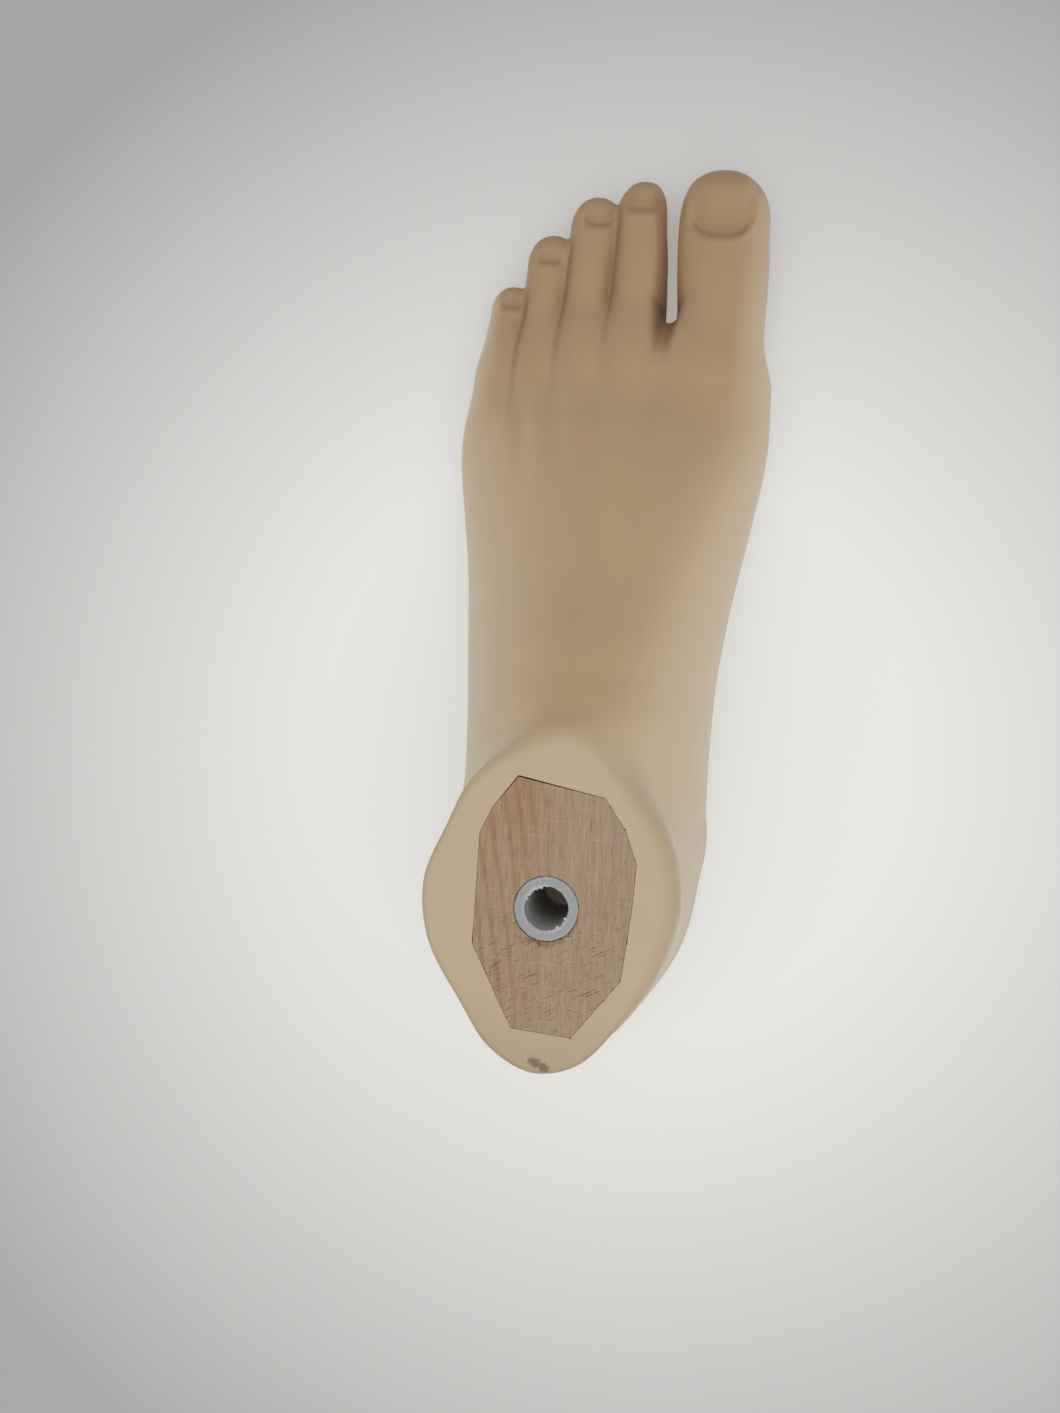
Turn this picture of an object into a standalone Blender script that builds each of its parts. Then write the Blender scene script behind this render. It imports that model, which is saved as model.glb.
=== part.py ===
"""Left SACH prosthetic foot with a sandal toe: a hardwood keel moulded into soft foam.

Metres, +Z up, toes towards +Y and the great toe on +X. The foot stands on z = 0.
"""
import math

import bmesh
import bpy
from mathutils import Matrix, Vector

MM = 0.001

# ---------------------------------------------------------------- driving sizes

FOOT_LENGTH = 262 * MM
FOOT_WIDTH = 90 * MM
ANKLE_HEIGHT = 78 * MM

# The foot is drawn in millimetres from the foot bolt's axis, for these three sizes.
DRAWN_LENGTH = 262
DRAWN_WIDTH = 90
DRAWN_HEIGHT = 78
# Where the bolt's axis lies from the middle of the foot's outline.
BOLT_FROM_MIDDLE = (1, -82)

CLEARANCE = 0.3 * MM
# A pocket's sharp corner moves out at most this many times its gap.
SHARPEST_CORNER = 3

# Bolt path: sleeve and washer in the keel, and the wrench's way in from the sole.
BORE_DIAMETER = 10.5 * MM
SLEEVE_WALL = 2.45 * MM
WASHER_DIAMETER = 22 * MM
WASHER_THICKNESS = 2.5 * MM
ACCESS_DIAMETER = 24 * MM
ACCESS_DEPTH = 34 * MM
PLUG_HEIGHT = 9 * MM
PLUG_BEVEL = 0.8 * MM

# Belts and the tacks that hold them.
BELT_THICKNESS = 1.5 * MM
LOWER_BELT_WIDTH = 34 * MM
UPPER_BELT_WIDTH = 30 * MM
# A belt lies on a slope with a little more room than flat pieces need.
BELT_GAP = 1.2 * CLEARANCE
TACK_SHANK = 2 * MM
TACK_HEAD = 6 * MM
TACK_HEAD_HEIGHT = 0.9 * MM
# The flat crown's share of the head's width.
TACK_CROWN = 0.7
TACK_LENGTH = 10 * MM
TACK_PITCH = 10 * MM
# The tacks' heads stand this far off their belt.
LOWER_TACK_GAP = CLEARANCE
UPPER_TACK_GAP = 1.4 * CLEARANCE

# Fineness of the foam's surface.
REMESH_SIZE = 2.4 * MM
FOAM_SMOOTHING = 6
FOAM_KEPT_SHARE = 0.22
ROUND_STEPS = 32
TACK_STEPS = 12
ARC_STEPS = 8
# Points closer than this become one.
MERGE_DISTANCE = 0.01 * MM

# Where cutters reach past what they cut, and how far joined holes overlap.
BEYOND = 20 * MM
HOLE_OVERLAP = 2 * MM


def across(drawn):
    return drawn * FOOT_WIDTH / DRAWN_WIDTH


def along(drawn):
    return drawn * FOOT_LENGTH / DRAWN_LENGTH


def up(drawn):
    return drawn * ANKLE_HEIGHT / DRAWN_HEIGHT


# Places that several pieces share.
KEEL_FLOOR = up(12.5)
KEEL_NOSE = along(127)
TOE_BREAK_REAR = along(129.5)
TOE_AXIS = (along(136), up(12))
TOE_BREAK_FRONT = along(142.5)
TREAD_TOP = up(10.6)
HEEL_AXIS = (along(20), TREAD_TOP)
# The keel's heel is sawn away above a slope that starts at WEDGE_TIP.
WEDGE_TIP = (along(18), KEEL_FLOOR)
WEDGE_RISE = up(29.5) / along(53)
CUSHION_REAR = along(-37)
CUSHION_FRONT = along(13)
CUSHION_SPLIT = up(19.5)
CUSHION_HALF_WIDTH = across(23)
CUSHION_TURN = along(20)
CUSHION_THINNEST = up(1.8)
# The cushion's flat rear top lies this far under the slope's highest point over it.
CUSHION_TOP_DROP = up(3)
# The foam's heel wall starts this far over the slope that the keel is sawn to.
WALL_OVER_SLOPE = up(1.6)
LOWER_BELT_REAR = along(66)
UPPER_BELT_REAR = along(101)
BELT_FRONT = (along(158), up(14.5))
LOWER_TACKS_PLACE = along(84)
UPPER_TACKS_PLACE = along(113)
# The middle of the forefoot, where the belts lie.
BELT_MIDDLE = across(0.5)
PLUG_RECESS = up(0.4)

# ---------------------------------------------------------------- the foam's outer form

# y, lateral x, medial x, crest x, sole z, arch rise, widest z, top z
FOOT_SECTIONS = (
    (-12, -29, 31, 1, -1.5, 0, 17, 44),
    (12, -31.4, 36.5, 1, -1.5, 0, 18, 62),
    (42, -32.6, 36.2, 2, 0, 4, 19, 75.5),
    (60, -35, 36.2, 3, 0.5, 7, 19, 66.5),
    (84, -38.6, 39, 5, 0, 5, 17, 54),
    (108, -43.6, 42.8, 8, -1.5, 1, 15, 43.5),
    (128, -46, 45.2, 10, -2, 0, 14, 35.5),
    (146, -43.8, 43.8, 10, -2, 0, 13, 29),
)
FOOT_REAR_CAP = 18
FOOT_FRONT_CAP = 18

# name, ((y, centre x, half width, sole z, top z), ...), length of the round tip
TOES = (
    ("great", ((138, 27.2, 14.8, -2, 28.5), (166, 27, 13.2, -1, 26), (182, 26.1, 13.8, -1, 25),
               (197, 24.7, 14.2, 0, 23.5)), 15.3),
    ("second", ((138, 2, 9.3, -2, 27.5), (170, 1.9, 8.2, -1, 22), (185, 1.5, 7.8, -1, 20.5),
                (199, 1.2, 7.9, 0, 18.5)), 10),
    ("third", ((134, -12, 8.2, -2, 25.5), (165, -12.9, 7.6, -1, 20.5), (182, -13, 7.2, -1, 19),
               (194.5, -13, 7.3, 0, 17)), 9.5),
    ("fourth", ((128, -25, 7.8, -2, 23.5), (155, -25.8, 7, -1, 19.5), (172, -26, 6.6, -1, 17.5),
                (183, -25.8, 6.8, 0, 16)), 9),
    ("fifth", ((124, -36, 7.2, -2, 21), (148, -37.2, 6.7, -1, 17), (160, -36.6, 6.3, -1, 16),
               (168, -36.2, 6, 0, 14.5)), 8),
)

# The gap between the great and second toes: its middle line from the web forwards.
TOE_SLOT = ((11.7, 169), (11, 183), (10.2, 198), (10.3, 218))
TOE_SLOT_WIDTH = 3.4 * MM

# Outlines seen from above, anticlockwise from the medial side.
ANKLE_OUTLINE = (
    (32.1, 1), (29, 18), (20.5, 31), (10, 41.5), (1, 43.7), (-11, 40.5), (-20, 33),
    (-26.5, 18), (-31, 3), (-29.2, -8.8), (-18.2, -26), (-9.6, -35.8), (1, -39.9),
    (10, -37.5), (19, -28), (28.5, -13),
)
HEEL_OUTLINE = (
    (37.2, 4), (37.3, 20), (28, 34), (14, 42), (1, 44), (-13, 42), (-26, 34),
    (-33, 20), (-33.5, 3), (-33, -14), (-26, -32.5), (-14, -44.5), (1, -49.5),
    (13.5, -45), (25.3, -31), (34.3, -14),
)
# z, share of the way from the heel's outline to the ankle's, size of the outline
HINDFOOT_LEVELS = (
    (-3, 0, 0.78), (1, 0, 0.88), (6, 0, 0.96), (12, 0, 0.995), (18, 0, 1), (32, 0.36, 1),
    (48, 0.74, 1), (63, 0.95, 1), (78, 1, 1), (90, 1, 1),
)
RING_POINTS = 32
TOE_RING_POINTS = 18
UPPER_ROUNDNESS = 2.15
LOWER_ROUNDNESS = 3.2
TOE_ROUNDNESS = 2.3
CAP_RINGS = 4
# A round end's last ring is this share of its section's size.
CAP_TIP_SIZE = 0.05

# ---------------------------------------------------------------- the keel

# Half the width of a cutter that crosses the whole foot.
REACH = across(DRAWN_WIDTH)
# The ankle block's lower end lies inside the plank.
BLOCK_FLOOR = KEEL_FLOOR + up(1)
NOSE_CHAMFER = (along(7), up(2))

# The ankle face of the wood, hand sawn and slightly irregular, anticlockwise from above.
KEEL_TOP = (
    (20.5, 3), (20.5, 13), (17, 21), (11.5, 28), (-10, 31), (-15.5, 23), (-18, 16.5),
    (-17, -10.5), (-9.5, -23), (-5.5, -29.5), (9, -30), (19.5, -15),
)
PLANK_PLAN = (
    (14, 8), (16, 28), (21, 60), (22, 100), (18, 121), (13, 127), (-12, 127), (-17, 121),
    (-21, 100), (-20, 60), (-15, 30), (-13, 8),
)
PLANK_TOP = ((8, 58), (26, 64), (34, 62), (60, 48), (100, 30.5), (127, 21.5))


def clear_scene():
    for obj in list(bpy.data.objects):
        bpy.data.objects.remove(obj, do_unlink=True)


def new_collection(name):
    made = bpy.data.collections.new(name)
    bpy.context.scene.collection.children.link(made)
    return made


def material(name, colour, roughness, metallic=0.0):
    made = bpy.data.materials.new(name)
    made.use_nodes = True
    shader = made.node_tree.nodes["Principled BSDF"]
    shader.inputs["Base Color"].default_value = (*colour, 1)
    shader.inputs["Roughness"].default_value = roughness
    shader.inputs["Metallic"].default_value = metallic
    return made


# ---------------------------------------------------------------- modelling helpers


def object_of(name, mesh, collection):
    obj = bpy.data.objects.new(name, mesh)
    collection.objects.link(obj)
    return obj


def evaluated_mesh(obj):
    bpy.context.view_layer.update()
    graph = bpy.context.evaluated_depsgraph_get()
    return bpy.data.meshes.new_from_object(obj.evaluated_get(graph))


def baked(obj):
    """Replaces an object's mesh with what its modifiers and its own place make of it."""
    mesh = evaluated_mesh(obj)
    mesh.transform(obj.matrix_world)
    name = obj.name
    collection = obj.users_collection[0]
    bpy.data.objects.remove(obj)
    return object_of(name, mesh, collection)


def boolean(target, tool, operation):
    modifier = target.modifiers.new(f"{operation.lower()} {tool.name}", "BOOLEAN")
    modifier.operation = operation
    modifier.solver = "EXACT"
    modifier.object = tool


def as_cutter(obj):
    obj.hide_render = True
    obj.display_type = "WIRE"
    return obj


def loft(name, rings, collection):
    """A closed skin over rings that have the same number of points, in order."""
    bm = bmesh.new()
    rows = [[bm.verts.new(point) for point in ring] for ring in rings]
    for row, following in zip(rows, rows[1:]):
        for i in range(len(row)):
            j = (i + 1) % len(row)
            bm.faces.new((row[i], row[j], following[j], following[i]))
    bm.faces.new(rows[0])
    bm.faces.new(rows[-1])
    bmesh.ops.recalc_face_normals(bm, faces=bm.faces)
    mesh = bpy.data.meshes.new(name)
    bm.to_mesh(mesh)
    bm.free()
    return object_of(name, mesh, collection)


def prism(name, outline, low, high, collection):
    """A flat outline as a filled curve, extruded from low to high and made a mesh."""
    curve = bpy.data.curves.new(name, "CURVE")
    curve.dimensions = "2D"
    curve.fill_mode = "BOTH"
    curve.extrude = (high - low) / 2
    spline = curve.splines.new("POLY")
    spline.points.add(len(outline) - 1)
    for point, (a, b) in zip(spline.points, outline):
        point.co = (a, b, 0, 1)
    spline.use_cyclic_u = True
    source = object_of(name, curve, collection)
    mesh = evaluated_mesh(source)
    bpy.data.objects.remove(source)
    bm = bmesh.new()
    bm.from_mesh(mesh)
    bmesh.ops.remove_doubles(bm, verts=bm.verts, dist=MERGE_DISTANCE)
    bmesh.ops.translate(bm, verts=bm.verts, vec=(0, 0, (low + high) / 2))
    bmesh.ops.recalc_face_normals(bm, faces=bm.faces)
    bm.to_mesh(mesh)
    bm.free()
    return object_of(name, mesh, collection)


def side_prism(name, outline, left, right, collection):
    """A prism across the foot, whose outline is drawn in y and z."""
    made = prism(name, outline, left, right, collection)
    # Curve x, y and z become the foot's y, z and x.
    made.data.transform(Matrix(((0, 0, 1, 0), (1, 0, 0, 0), (0, 1, 0, 0), (0, 0, 0, 1))))
    return made


def turned(name, profile, collection, steps=ROUND_STEPS):
    """A closed profile of (radius, z) points turned about the z axis."""
    bm = bmesh.new()
    points = [bm.verts.new((radius, 0, z)) for radius, z in profile]
    for start, end in zip(points, points[1:]):
        bm.edges.new((start, end))
    if profile[0][0] > 0:
        bm.edges.new((points[-1], points[0]))
    mesh = bpy.data.meshes.new(name)
    bm.to_mesh(mesh)
    bm.free()
    obj = object_of(name, mesh, collection)
    screw = obj.modifiers.new("turn", "SCREW")
    screw.steps = steps
    screw.render_steps = steps
    screw.use_merge_vertices = True
    screw.merge_threshold = MERGE_DISTANCE
    screw.use_normal_calculate = True
    obj = baked(obj)
    bm = bmesh.new()
    bm.from_mesh(obj.data)
    bmesh.ops.recalc_face_normals(bm, faces=bm.faces)
    bm.to_mesh(obj.data)
    bm.free()
    return obj


def pocket_for(obj, gap=CLEARANCE):
    """A cutter of the object's own shape, larger by the gap on every side."""
    mesh = evaluated_mesh(obj)
    mesh.transform(obj.matrix_world)
    bm = bmesh.new()
    bm.from_mesh(mesh)
    bmesh.ops.triangulate(bm, faces=bm.faces)
    bm.normal_update()
    moves = [v.normal * gap * min(v.calc_shell_factor(), SHARPEST_CORNER) for v in bm.verts]
    for vertex, move in zip(bm.verts, moves):
        vertex.co += move
    bm.to_mesh(mesh)
    bm.free()
    return as_cutter(object_of(f"{obj.name} pocket", mesh, cutters))


def finish(obj, look, parent, smooth_angle=40):
    """Gives a part its look, its smooth shading and its place under a body's empty."""
    obj.data.materials.clear()
    obj.data.materials.append(look)
    obj.data.shade_smooth()
    obj.data.set_sharp_from_angle(angle=math.radians(smooth_angle))
    obj.parent = parent
    obj.matrix_parent_inverse = parent.matrix_world.inverted()
    return obj


# ---------------------------------------------------------------- outer form


def eased(places, values, place):
    """The value at a place, on a smooth curve through the values at the listed places."""
    if place <= places[0]:
        return values[0]
    if place >= places[-1]:
        return values[-1]
    k = max(i for i, known in enumerate(places[:-1]) if known <= place)

    def slope(i):
        before = max(i - 1, 0)
        after = min(i + 1, len(places) - 1)
        return (values[after] - values[before]) / (places[after] - places[before])

    span = places[k + 1] - places[k]
    t = (place - places[k]) / span
    return (
        values[k] * (1 + 2 * t) * (1 - t) ** 2
        + slope(k) * span * t * (1 - t) ** 2
        + values[k + 1] * t * t * (3 - 2 * t)
        - slope(k + 1) * span * t * t * (1 - t)
    )


def signed_power(value, power):
    return math.copysign(abs(value) ** power, value)


def section_ring(y, half, centre, crest, sole, arch, widest, top, size, roundness, count):
    """One upright section: a round upper part over a squarer sole, drawn in millimetres."""
    upper, lower = roundness
    ring = []
    for i in range(count):
        angle = 2 * math.pi * i / count
        power = 2 / (upper if angle < math.pi else lower)
        x = half * signed_power(math.cos(angle), power)
        rise = signed_power(math.sin(angle), power)
        if rise >= 0:
            z = rise * (top - widest)
            x += (crest - centre) * rise * rise
        else:
            medial = min(max(0.5 + x / half, 0), 1)
            z = rise * (widest - sole - arch * medial)
        ring.append(Vector((
            across(centre + x * size),
            along(y),
            up(widest + z * size),
        )))
    return ring


def swept_form(name, stations, rear_cap, front_cap, ring_at):
    """Lofts ring_at(y, size) over the stations, with a round cap past each end."""
    first, last = stations[0], stations[-1]
    angles = [math.pi / 2 * i / CAP_RINGS for i in range(1, CAP_RINGS + 1)]
    rings = []
    if rear_cap:
        for angle in reversed(angles):
            size = max(math.cos(angle), CAP_TIP_SIZE)
            rings.append(ring_at(first, first - rear_cap * math.sin(angle), size))
    steps = []
    for start, end in zip(stations, stations[1:]):
        steps += [start, (start + end) / 2]
    for y in steps + [last]:
        rings.append(ring_at(y, y, 1))
    for angle in angles:
        size = max(math.cos(angle), CAP_TIP_SIZE)
        rings.append(ring_at(last, last + front_cap * math.sin(angle), size))
    return as_cutter(loft(name, rings, cutters))


def sole_form():
    """The foot from the heel to the balls of the toes, without its ankle."""
    columns = list(zip(*FOOT_SECTIONS))
    stations = columns[0]

    def ring_at(station, y, size):
        lateral, medial, crest, sole, arch, widest, top = (
            eased(stations, column, station) for column in columns[1:]
        )
        return section_ring(
            y, (medial - lateral) / 2, (medial + lateral) / 2, crest, sole, arch, widest, top,
            size, (UPPER_ROUNDNESS, LOWER_ROUNDNESS), RING_POINTS,
        )

    return swept_form("sole form", stations, FOOT_REAR_CAP, FOOT_FRONT_CAP, ring_at)


def toe_form(name, rows, tip):
    columns = list(zip(*rows))
    stations = columns[0]

    def ring_at(station, y, size):
        centre, half, sole, top = (
            eased(stations, column, station) for column in columns[1:]
        )
        widest = (sole + top) / 2
        return section_ring(
            y, half, centre, centre, sole, 0, widest, top, size,
            (TOE_ROUNDNESS, TOE_ROUNDNESS), TOE_RING_POINTS,
        )

    return swept_form(f"{name} toe form", stations, 0, tip, ring_at)


def outline_reach(outline, angle):
    """How far the outline lies from the bolt's axis in a direction, on a smooth closed curve."""
    known = sorted((math.atan2(y, x) % (2 * math.pi), math.hypot(x, y)) for x, y in outline)
    turn = 2 * math.pi
    wrapped = [(a - turn, r) for a, r in known[-2:]] + known + [(a + turn, r) for a, r in known[:2]]
    return eased([a for a, _ in wrapped], [r for _, r in wrapped], angle % turn)


def hindfoot_form():
    """The heel and the ankle's column, lofted upwards past the ankle face."""
    rings = []
    for z, share, size in HINDFOOT_LEVELS:
        ring = []
        for i in range(RING_POINTS):
            angle = 2 * math.pi * i / RING_POINTS
            heel = outline_reach(HEEL_OUTLINE, angle)
            ankle = outline_reach(ANKLE_OUTLINE, angle)
            reach = (heel + (ankle - heel) * share) * size
            ring.append(Vector((
                across(reach * math.cos(angle)), along(reach * math.sin(angle)), up(z),
            )))
        rings.append(ring)
    return as_cutter(loft("hindfoot form", rings, cutters))


def moulded_foot():
    """The whole foam form as one closed mesh, flat at the sole and at the ankle face."""
    foot = sole_form()
    boolean(foot, hindfoot_form(), "UNION")
    for name, rows, tip in TOES:
        boolean(foot, toe_form(name, rows, tip), "UNION")
    remesh = foot.modifiers.new("one skin", "REMESH")
    remesh.mode = "VOXEL"
    remesh.voxel_size = REMESH_SIZE
    smooth = foot.modifiers.new("soften", "SMOOTH")
    smooth.factor = 0.5
    smooth.iterations = FOAM_SMOOTHING
    thin = foot.modifiers.new("thin out", "DECIMATE")
    thin.ratio = FOAM_KEPT_SHARE
    foot.modifiers.new("flat faces", "TRIANGULATE")
    foot = baked(foot)
    foot.name = "foot form"
    return foot


# ---------------------------------------------------------------- foam pieces

LOW = -BEYOND
HIGH = ANKLE_HEIGHT
FAR_REAR = along(-90)
FAR_FRONT = along(260)
HALF_GAP = CLEARANCE / 2


def wedge_height(y, above_tip=0.0):
    return KEEL_FLOOR + above_tip + (WEDGE_TIP[0] - y) * WEDGE_RISE


def foam_regions():
    """Side views, in y and z, of the five stretches that the moulded foam flexes as."""
    heel = HEEL_AXIS[0]
    return {
        "foam_main": (
            (TOE_BREAK_REAR - HALF_GAP, 0), (TOE_BREAK_REAR - HALF_GAP, HIGH),
            (FAR_REAR, HIGH), (FAR_REAR, wedge_height(FAR_REAR, WALL_OVER_SLOPE) + HALF_GAP),
            (heel + HALF_GAP, wedge_height(heel, WALL_OVER_SLOPE) + HALF_GAP), (heel + HALF_GAP, 0),
        ),
        "foam_toe_break": (
            (TOE_BREAK_FRONT - HALF_GAP, 0), (TOE_BREAK_FRONT - HALF_GAP, HIGH),
            (TOE_BREAK_REAR + HALF_GAP, HIGH), (TOE_BREAK_REAR + HALF_GAP, 0),
        ),
        "foam_toes": (
            (FAR_FRONT, 0), (FAR_FRONT, HIGH),
            (TOE_BREAK_FRONT + HALF_GAP, HIGH), (TOE_BREAK_FRONT + HALF_GAP, 0),
        ),
        "foam_heel_wall": (
            (heel - HALF_GAP, TREAD_TOP + HALF_GAP),
            (heel - HALF_GAP, wedge_height(heel, WALL_OVER_SLOPE) - HALF_GAP),
            (FAR_REAR, wedge_height(FAR_REAR, WALL_OVER_SLOPE) - HALF_GAP),
            (FAR_REAR, TREAD_TOP + HALF_GAP),
        ),
        "foam_heel_tread": (
            (heel - HALF_GAP, 0), (heel - HALF_GAP, TREAD_TOP - HALF_GAP),
            (FAR_REAR, TREAD_TOP - HALF_GAP), (FAR_REAR, 0),
        ),
    }


def toe_slot():
    half = TOE_SLOT_WIDTH / 2
    line = [(across(x), along(y)) for x, y in TOE_SLOT]
    web_x, web_y = line[0]
    web = []
    for i in range(1, ARC_STEPS):
        angle = math.pi * (1 + i / ARC_STEPS)
        web.append((web_x + half * math.cos(angle), web_y + half * math.sin(angle)))
    left = [(x - half, y) for x, y in reversed(line)]
    right = [(x + half, y) for x, y in line]
    return as_cutter(prism("toe slot", left + web + right, LOW, ANKLE_HEIGHT, cutters))


def foam_piece(name, region, foot_mesh, pockets):
    piece = object_of(name, foot_mesh.copy(), parts)
    stretch = side_prism(f"{name} stretch", region, -REACH, REACH, cutters)
    boolean(piece, as_cutter(stretch), "INTERSECT")
    for pocket in pockets:
        boolean(piece, pocket, "DIFFERENCE")
    return piece


# ---------------------------------------------------------------- keel and its fittings


def keel_blank():
    """Ankle block and forward plank in one, sawn away above the heel cushion, not drilled."""
    top = [(across(x), along(y)) for x, y in KEEL_TOP]
    keel = prism("keel", top, BLOCK_FLOOR, ANKLE_HEIGHT, parts)
    plan = [(across(x), along(y)) for x, y in PLANK_PLAN]
    plank = as_cutter(prism("plank", plan, LOW, ANKLE_HEIGHT, cutters))
    side = [(along(y), up(z)) for y, z in PLANK_TOP]
    side += [
        (KEEL_NOSE, KEEL_FLOOR + NOSE_CHAMFER[1]), (KEEL_NOSE - NOSE_CHAMFER[0], KEEL_FLOOR),
        (side[0][0], KEEL_FLOOR),
    ]
    profile = as_cutter(side_prism("plank side", side, -REACH, REACH, cutters))
    boolean(plank, profile, "INTERSECT")
    boolean(keel, plank, "UNION")
    front = WEDGE_TIP[0] + along(1)
    below = [
        (front, wedge_height(front)), (FAR_REAR, wedge_height(FAR_REAR)), (FAR_REAR, LOW), (front, LOW),
    ]
    saw_cut = as_cutter(side_prism("saw cut", below, -REACH, REACH, cutters))
    boolean(keel, saw_cut, "DIFFERENCE")
    return baked(keel)


def round_hole(name, diameter, low, high):
    radius = diameter / 2
    return as_cutter(turned(name, ((0, high), (radius, high), (radius, low), (0, low)), cutters))


def drill(obj, holes):
    for hole in holes:
        boolean(obj, hole, "DIFFERENCE")


def tube(name, inner, outer, low, high):
    return turned(name, ((outer, high), (outer, low), (inner, low), (inner, high)), parts)


def bolt_sleeve():
    inner = BORE_DIAMETER / 2
    low = ACCESS_DEPTH + CLEARANCE
    return tube("bolt_sleeve", inner, inner + SLEEVE_WALL, low, ANKLE_HEIGHT)


def bolt_washer():
    high = ACCESS_DEPTH - CLEARANCE
    return tube(
        "bolt_washer", BORE_DIAMETER / 2, WASHER_DIAMETER / 2, high - WASHER_THICKNESS, high
    )


def cushion_outline():
    """The heel cushion from above: straight sides and a round heel."""
    half = CUSHION_HALF_WIDTH
    turn = CUSHION_TURN
    arc = []
    for i in range(ARC_STEPS + 1):
        angle = math.pi * (1 + i / ARC_STEPS)
        arc.append((half * math.cos(angle), CUSHION_REAR + turn * (1 + math.sin(angle))))
    return [(half, CUSHION_FRONT + BEYOND), (-half, CUSHION_FRONT + BEYOND)] + arc


def cushion_layer(name, low, high, front):
    """One layer of the cushion, from low to high but never above the sawn slope."""
    gap = CLEARANCE
    layer = prism(name, cushion_outline(), low, high, parts)
    slope = [
        (front, low - gap), (front, wedge_height(front) - gap),
        (FAR_REAR, wedge_height(FAR_REAR) - gap), (FAR_REAR, low - gap),
    ]
    under_slope = as_cutter(side_prism(f"{name} slope", slope, -REACH, REACH, cutters))
    boolean(layer, under_slope, "INTERSECT")
    return baked(layer)


def heel_cushions():
    lower_low = TREAD_TOP + CLEARANCE
    lower_high = CUSHION_SPLIT - HALF_GAP
    upper_low = CUSHION_SPLIT + HALF_GAP
    upper_high = wedge_height(CUSHION_REAR) - CUSHION_TOP_DROP
    upper_front = WEDGE_TIP[0] - (upper_low + CUSHION_THINNEST - KEEL_FLOOR) / WEDGE_RISE
    return (
        cushion_layer("heel_cushion_lower", lower_low, lower_high, CUSHION_FRONT),
        cushion_layer("heel_cushion_upper", upper_low, upper_high, upper_front),
    )


def strap(name, line, width):
    """A belt of even thickness whose underside follows a line of (y, z) points."""
    over = [(y, z + BELT_THICKNESS) for y, z in reversed(line)]
    return side_prism(
        name, list(line) + over, BELT_MIDDLE - width / 2, BELT_MIDDLE + width / 2, parts
    )


def plank_top(y):
    for (y0, z0), (y1, z1) in zip(PLANK_TOP, PLANK_TOP[1:]):
        if along(y0) <= y <= along(y1):
            share = (y - along(y0)) / (along(y1) - along(y0))
            return up(z0) + share * (up(z1) - up(z0))
    return up(PLANK_TOP[-1][1])


def belts():
    under = KEEL_FLOOR - CLEARANCE - BELT_THICKNESS
    lower_line = ((LOWER_BELT_REAR, under), (BELT_FRONT[0], under))
    upper_line = (
        (UPPER_BELT_REAR, plank_top(UPPER_BELT_REAR) + BELT_GAP),
        (KEEL_NOSE, plank_top(KEEL_NOSE) + BELT_GAP),
        BELT_FRONT,
    )
    return (
        strap("lower_belt", lower_line, LOWER_BELT_WIDTH),
        strap("upper_belt", upper_line, UPPER_BELT_WIDTH),
    )


def tack(name):
    """A clout tack, head up at the origin, its point below."""
    shank = TACK_SHANK / 2
    head = TACK_HEAD / 2
    profile = (
        (0, TACK_HEAD_HEIGHT), (head * TACK_CROWN, TACK_HEAD_HEIGHT), (head, 0), (shank, 0),
        (shank, -TACK_LENGTH + shank), (0, -TACK_LENGTH),
    )
    return turned(name, profile, parts, steps=TACK_STEPS)


def tacks():
    """Three tacks up through the lower belt and three down through the upper one."""
    made = []
    under = KEEL_FLOOR - CLEARANCE - BELT_THICKNESS - LOWER_TACK_GAP
    over = plank_top(UPPER_TACKS_PLACE) + BELT_GAP + BELT_THICKNESS + UPPER_TACK_GAP
    (y0, z0), (y1, z1) = PLANK_TOP[-2:]
    lean = math.atan2(up(z1) - up(z0), along(y1) - along(y0))
    for i in range(3):
        x = BELT_MIDDLE + (i - 1) * TACK_PITCH
        lower = tack(f"lower_tack_{i + 1}")
        lower.location = (x, LOWER_TACKS_PLACE, under)
        lower.rotation_euler = (math.pi, 0, 0)
        upper = tack(f"upper_tack_{i + 1}")
        upper.location = (x, UPPER_TACKS_PLACE, over)
        upper.rotation_euler = (lean, 0, 0)
        made += [lower, upper]
    return made


def sole_plug():
    radius = ACCESS_DIAMETER / 2 - CLEARANCE
    bpy.ops.mesh.primitive_cylinder_add(
        vertices=ROUND_STEPS, radius=radius, depth=PLUG_HEIGHT,
        location=(0, 0, PLUG_RECESS + PLUG_HEIGHT / 2),
    )
    plug = bpy.context.object
    plug.name = "sole_plug"
    plug.data.name = "sole_plug"
    for collection in list(plug.users_collection):
        collection.objects.unlink(plug)
    parts.objects.link(plug)
    bevel = plug.modifiers.new("soft edge", "BEVEL")
    bevel.width = PLUG_BEVEL
    bevel.segments = 2
    return baked(plug)


# ---------------------------------------------------------------- assembly

clear_scene()
parts = new_collection("prosthetic_foot")
cutters = new_collection("cutters")

foam_look = material("foam", (0.60, 0.44, 0.29), 0.55)
wood_look = material("hardwood", (0.42, 0.29, 0.20), 0.75)
sleeve_look = material("grey plastic", (0.55, 0.56, 0.58), 0.45)
steel_look = material("zinc steel", (0.62, 0.62, 0.60), 0.35, 1.0)
firm_look = material("firm cushion", (0.18, 0.18, 0.19), 0.85)
soft_look = material("soft cushion", (0.45, 0.40, 0.33), 0.9)
belt_look = material("woven belt", (0.70, 0.68, 0.60), 0.9)
plug_look = material("plug foam", (0.52, 0.38, 0.25), 0.6)

place = Vector((across(BOLT_FROM_MIDDLE[0]), along(BOLT_FROM_MIDDLE[1]), 0))


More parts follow.
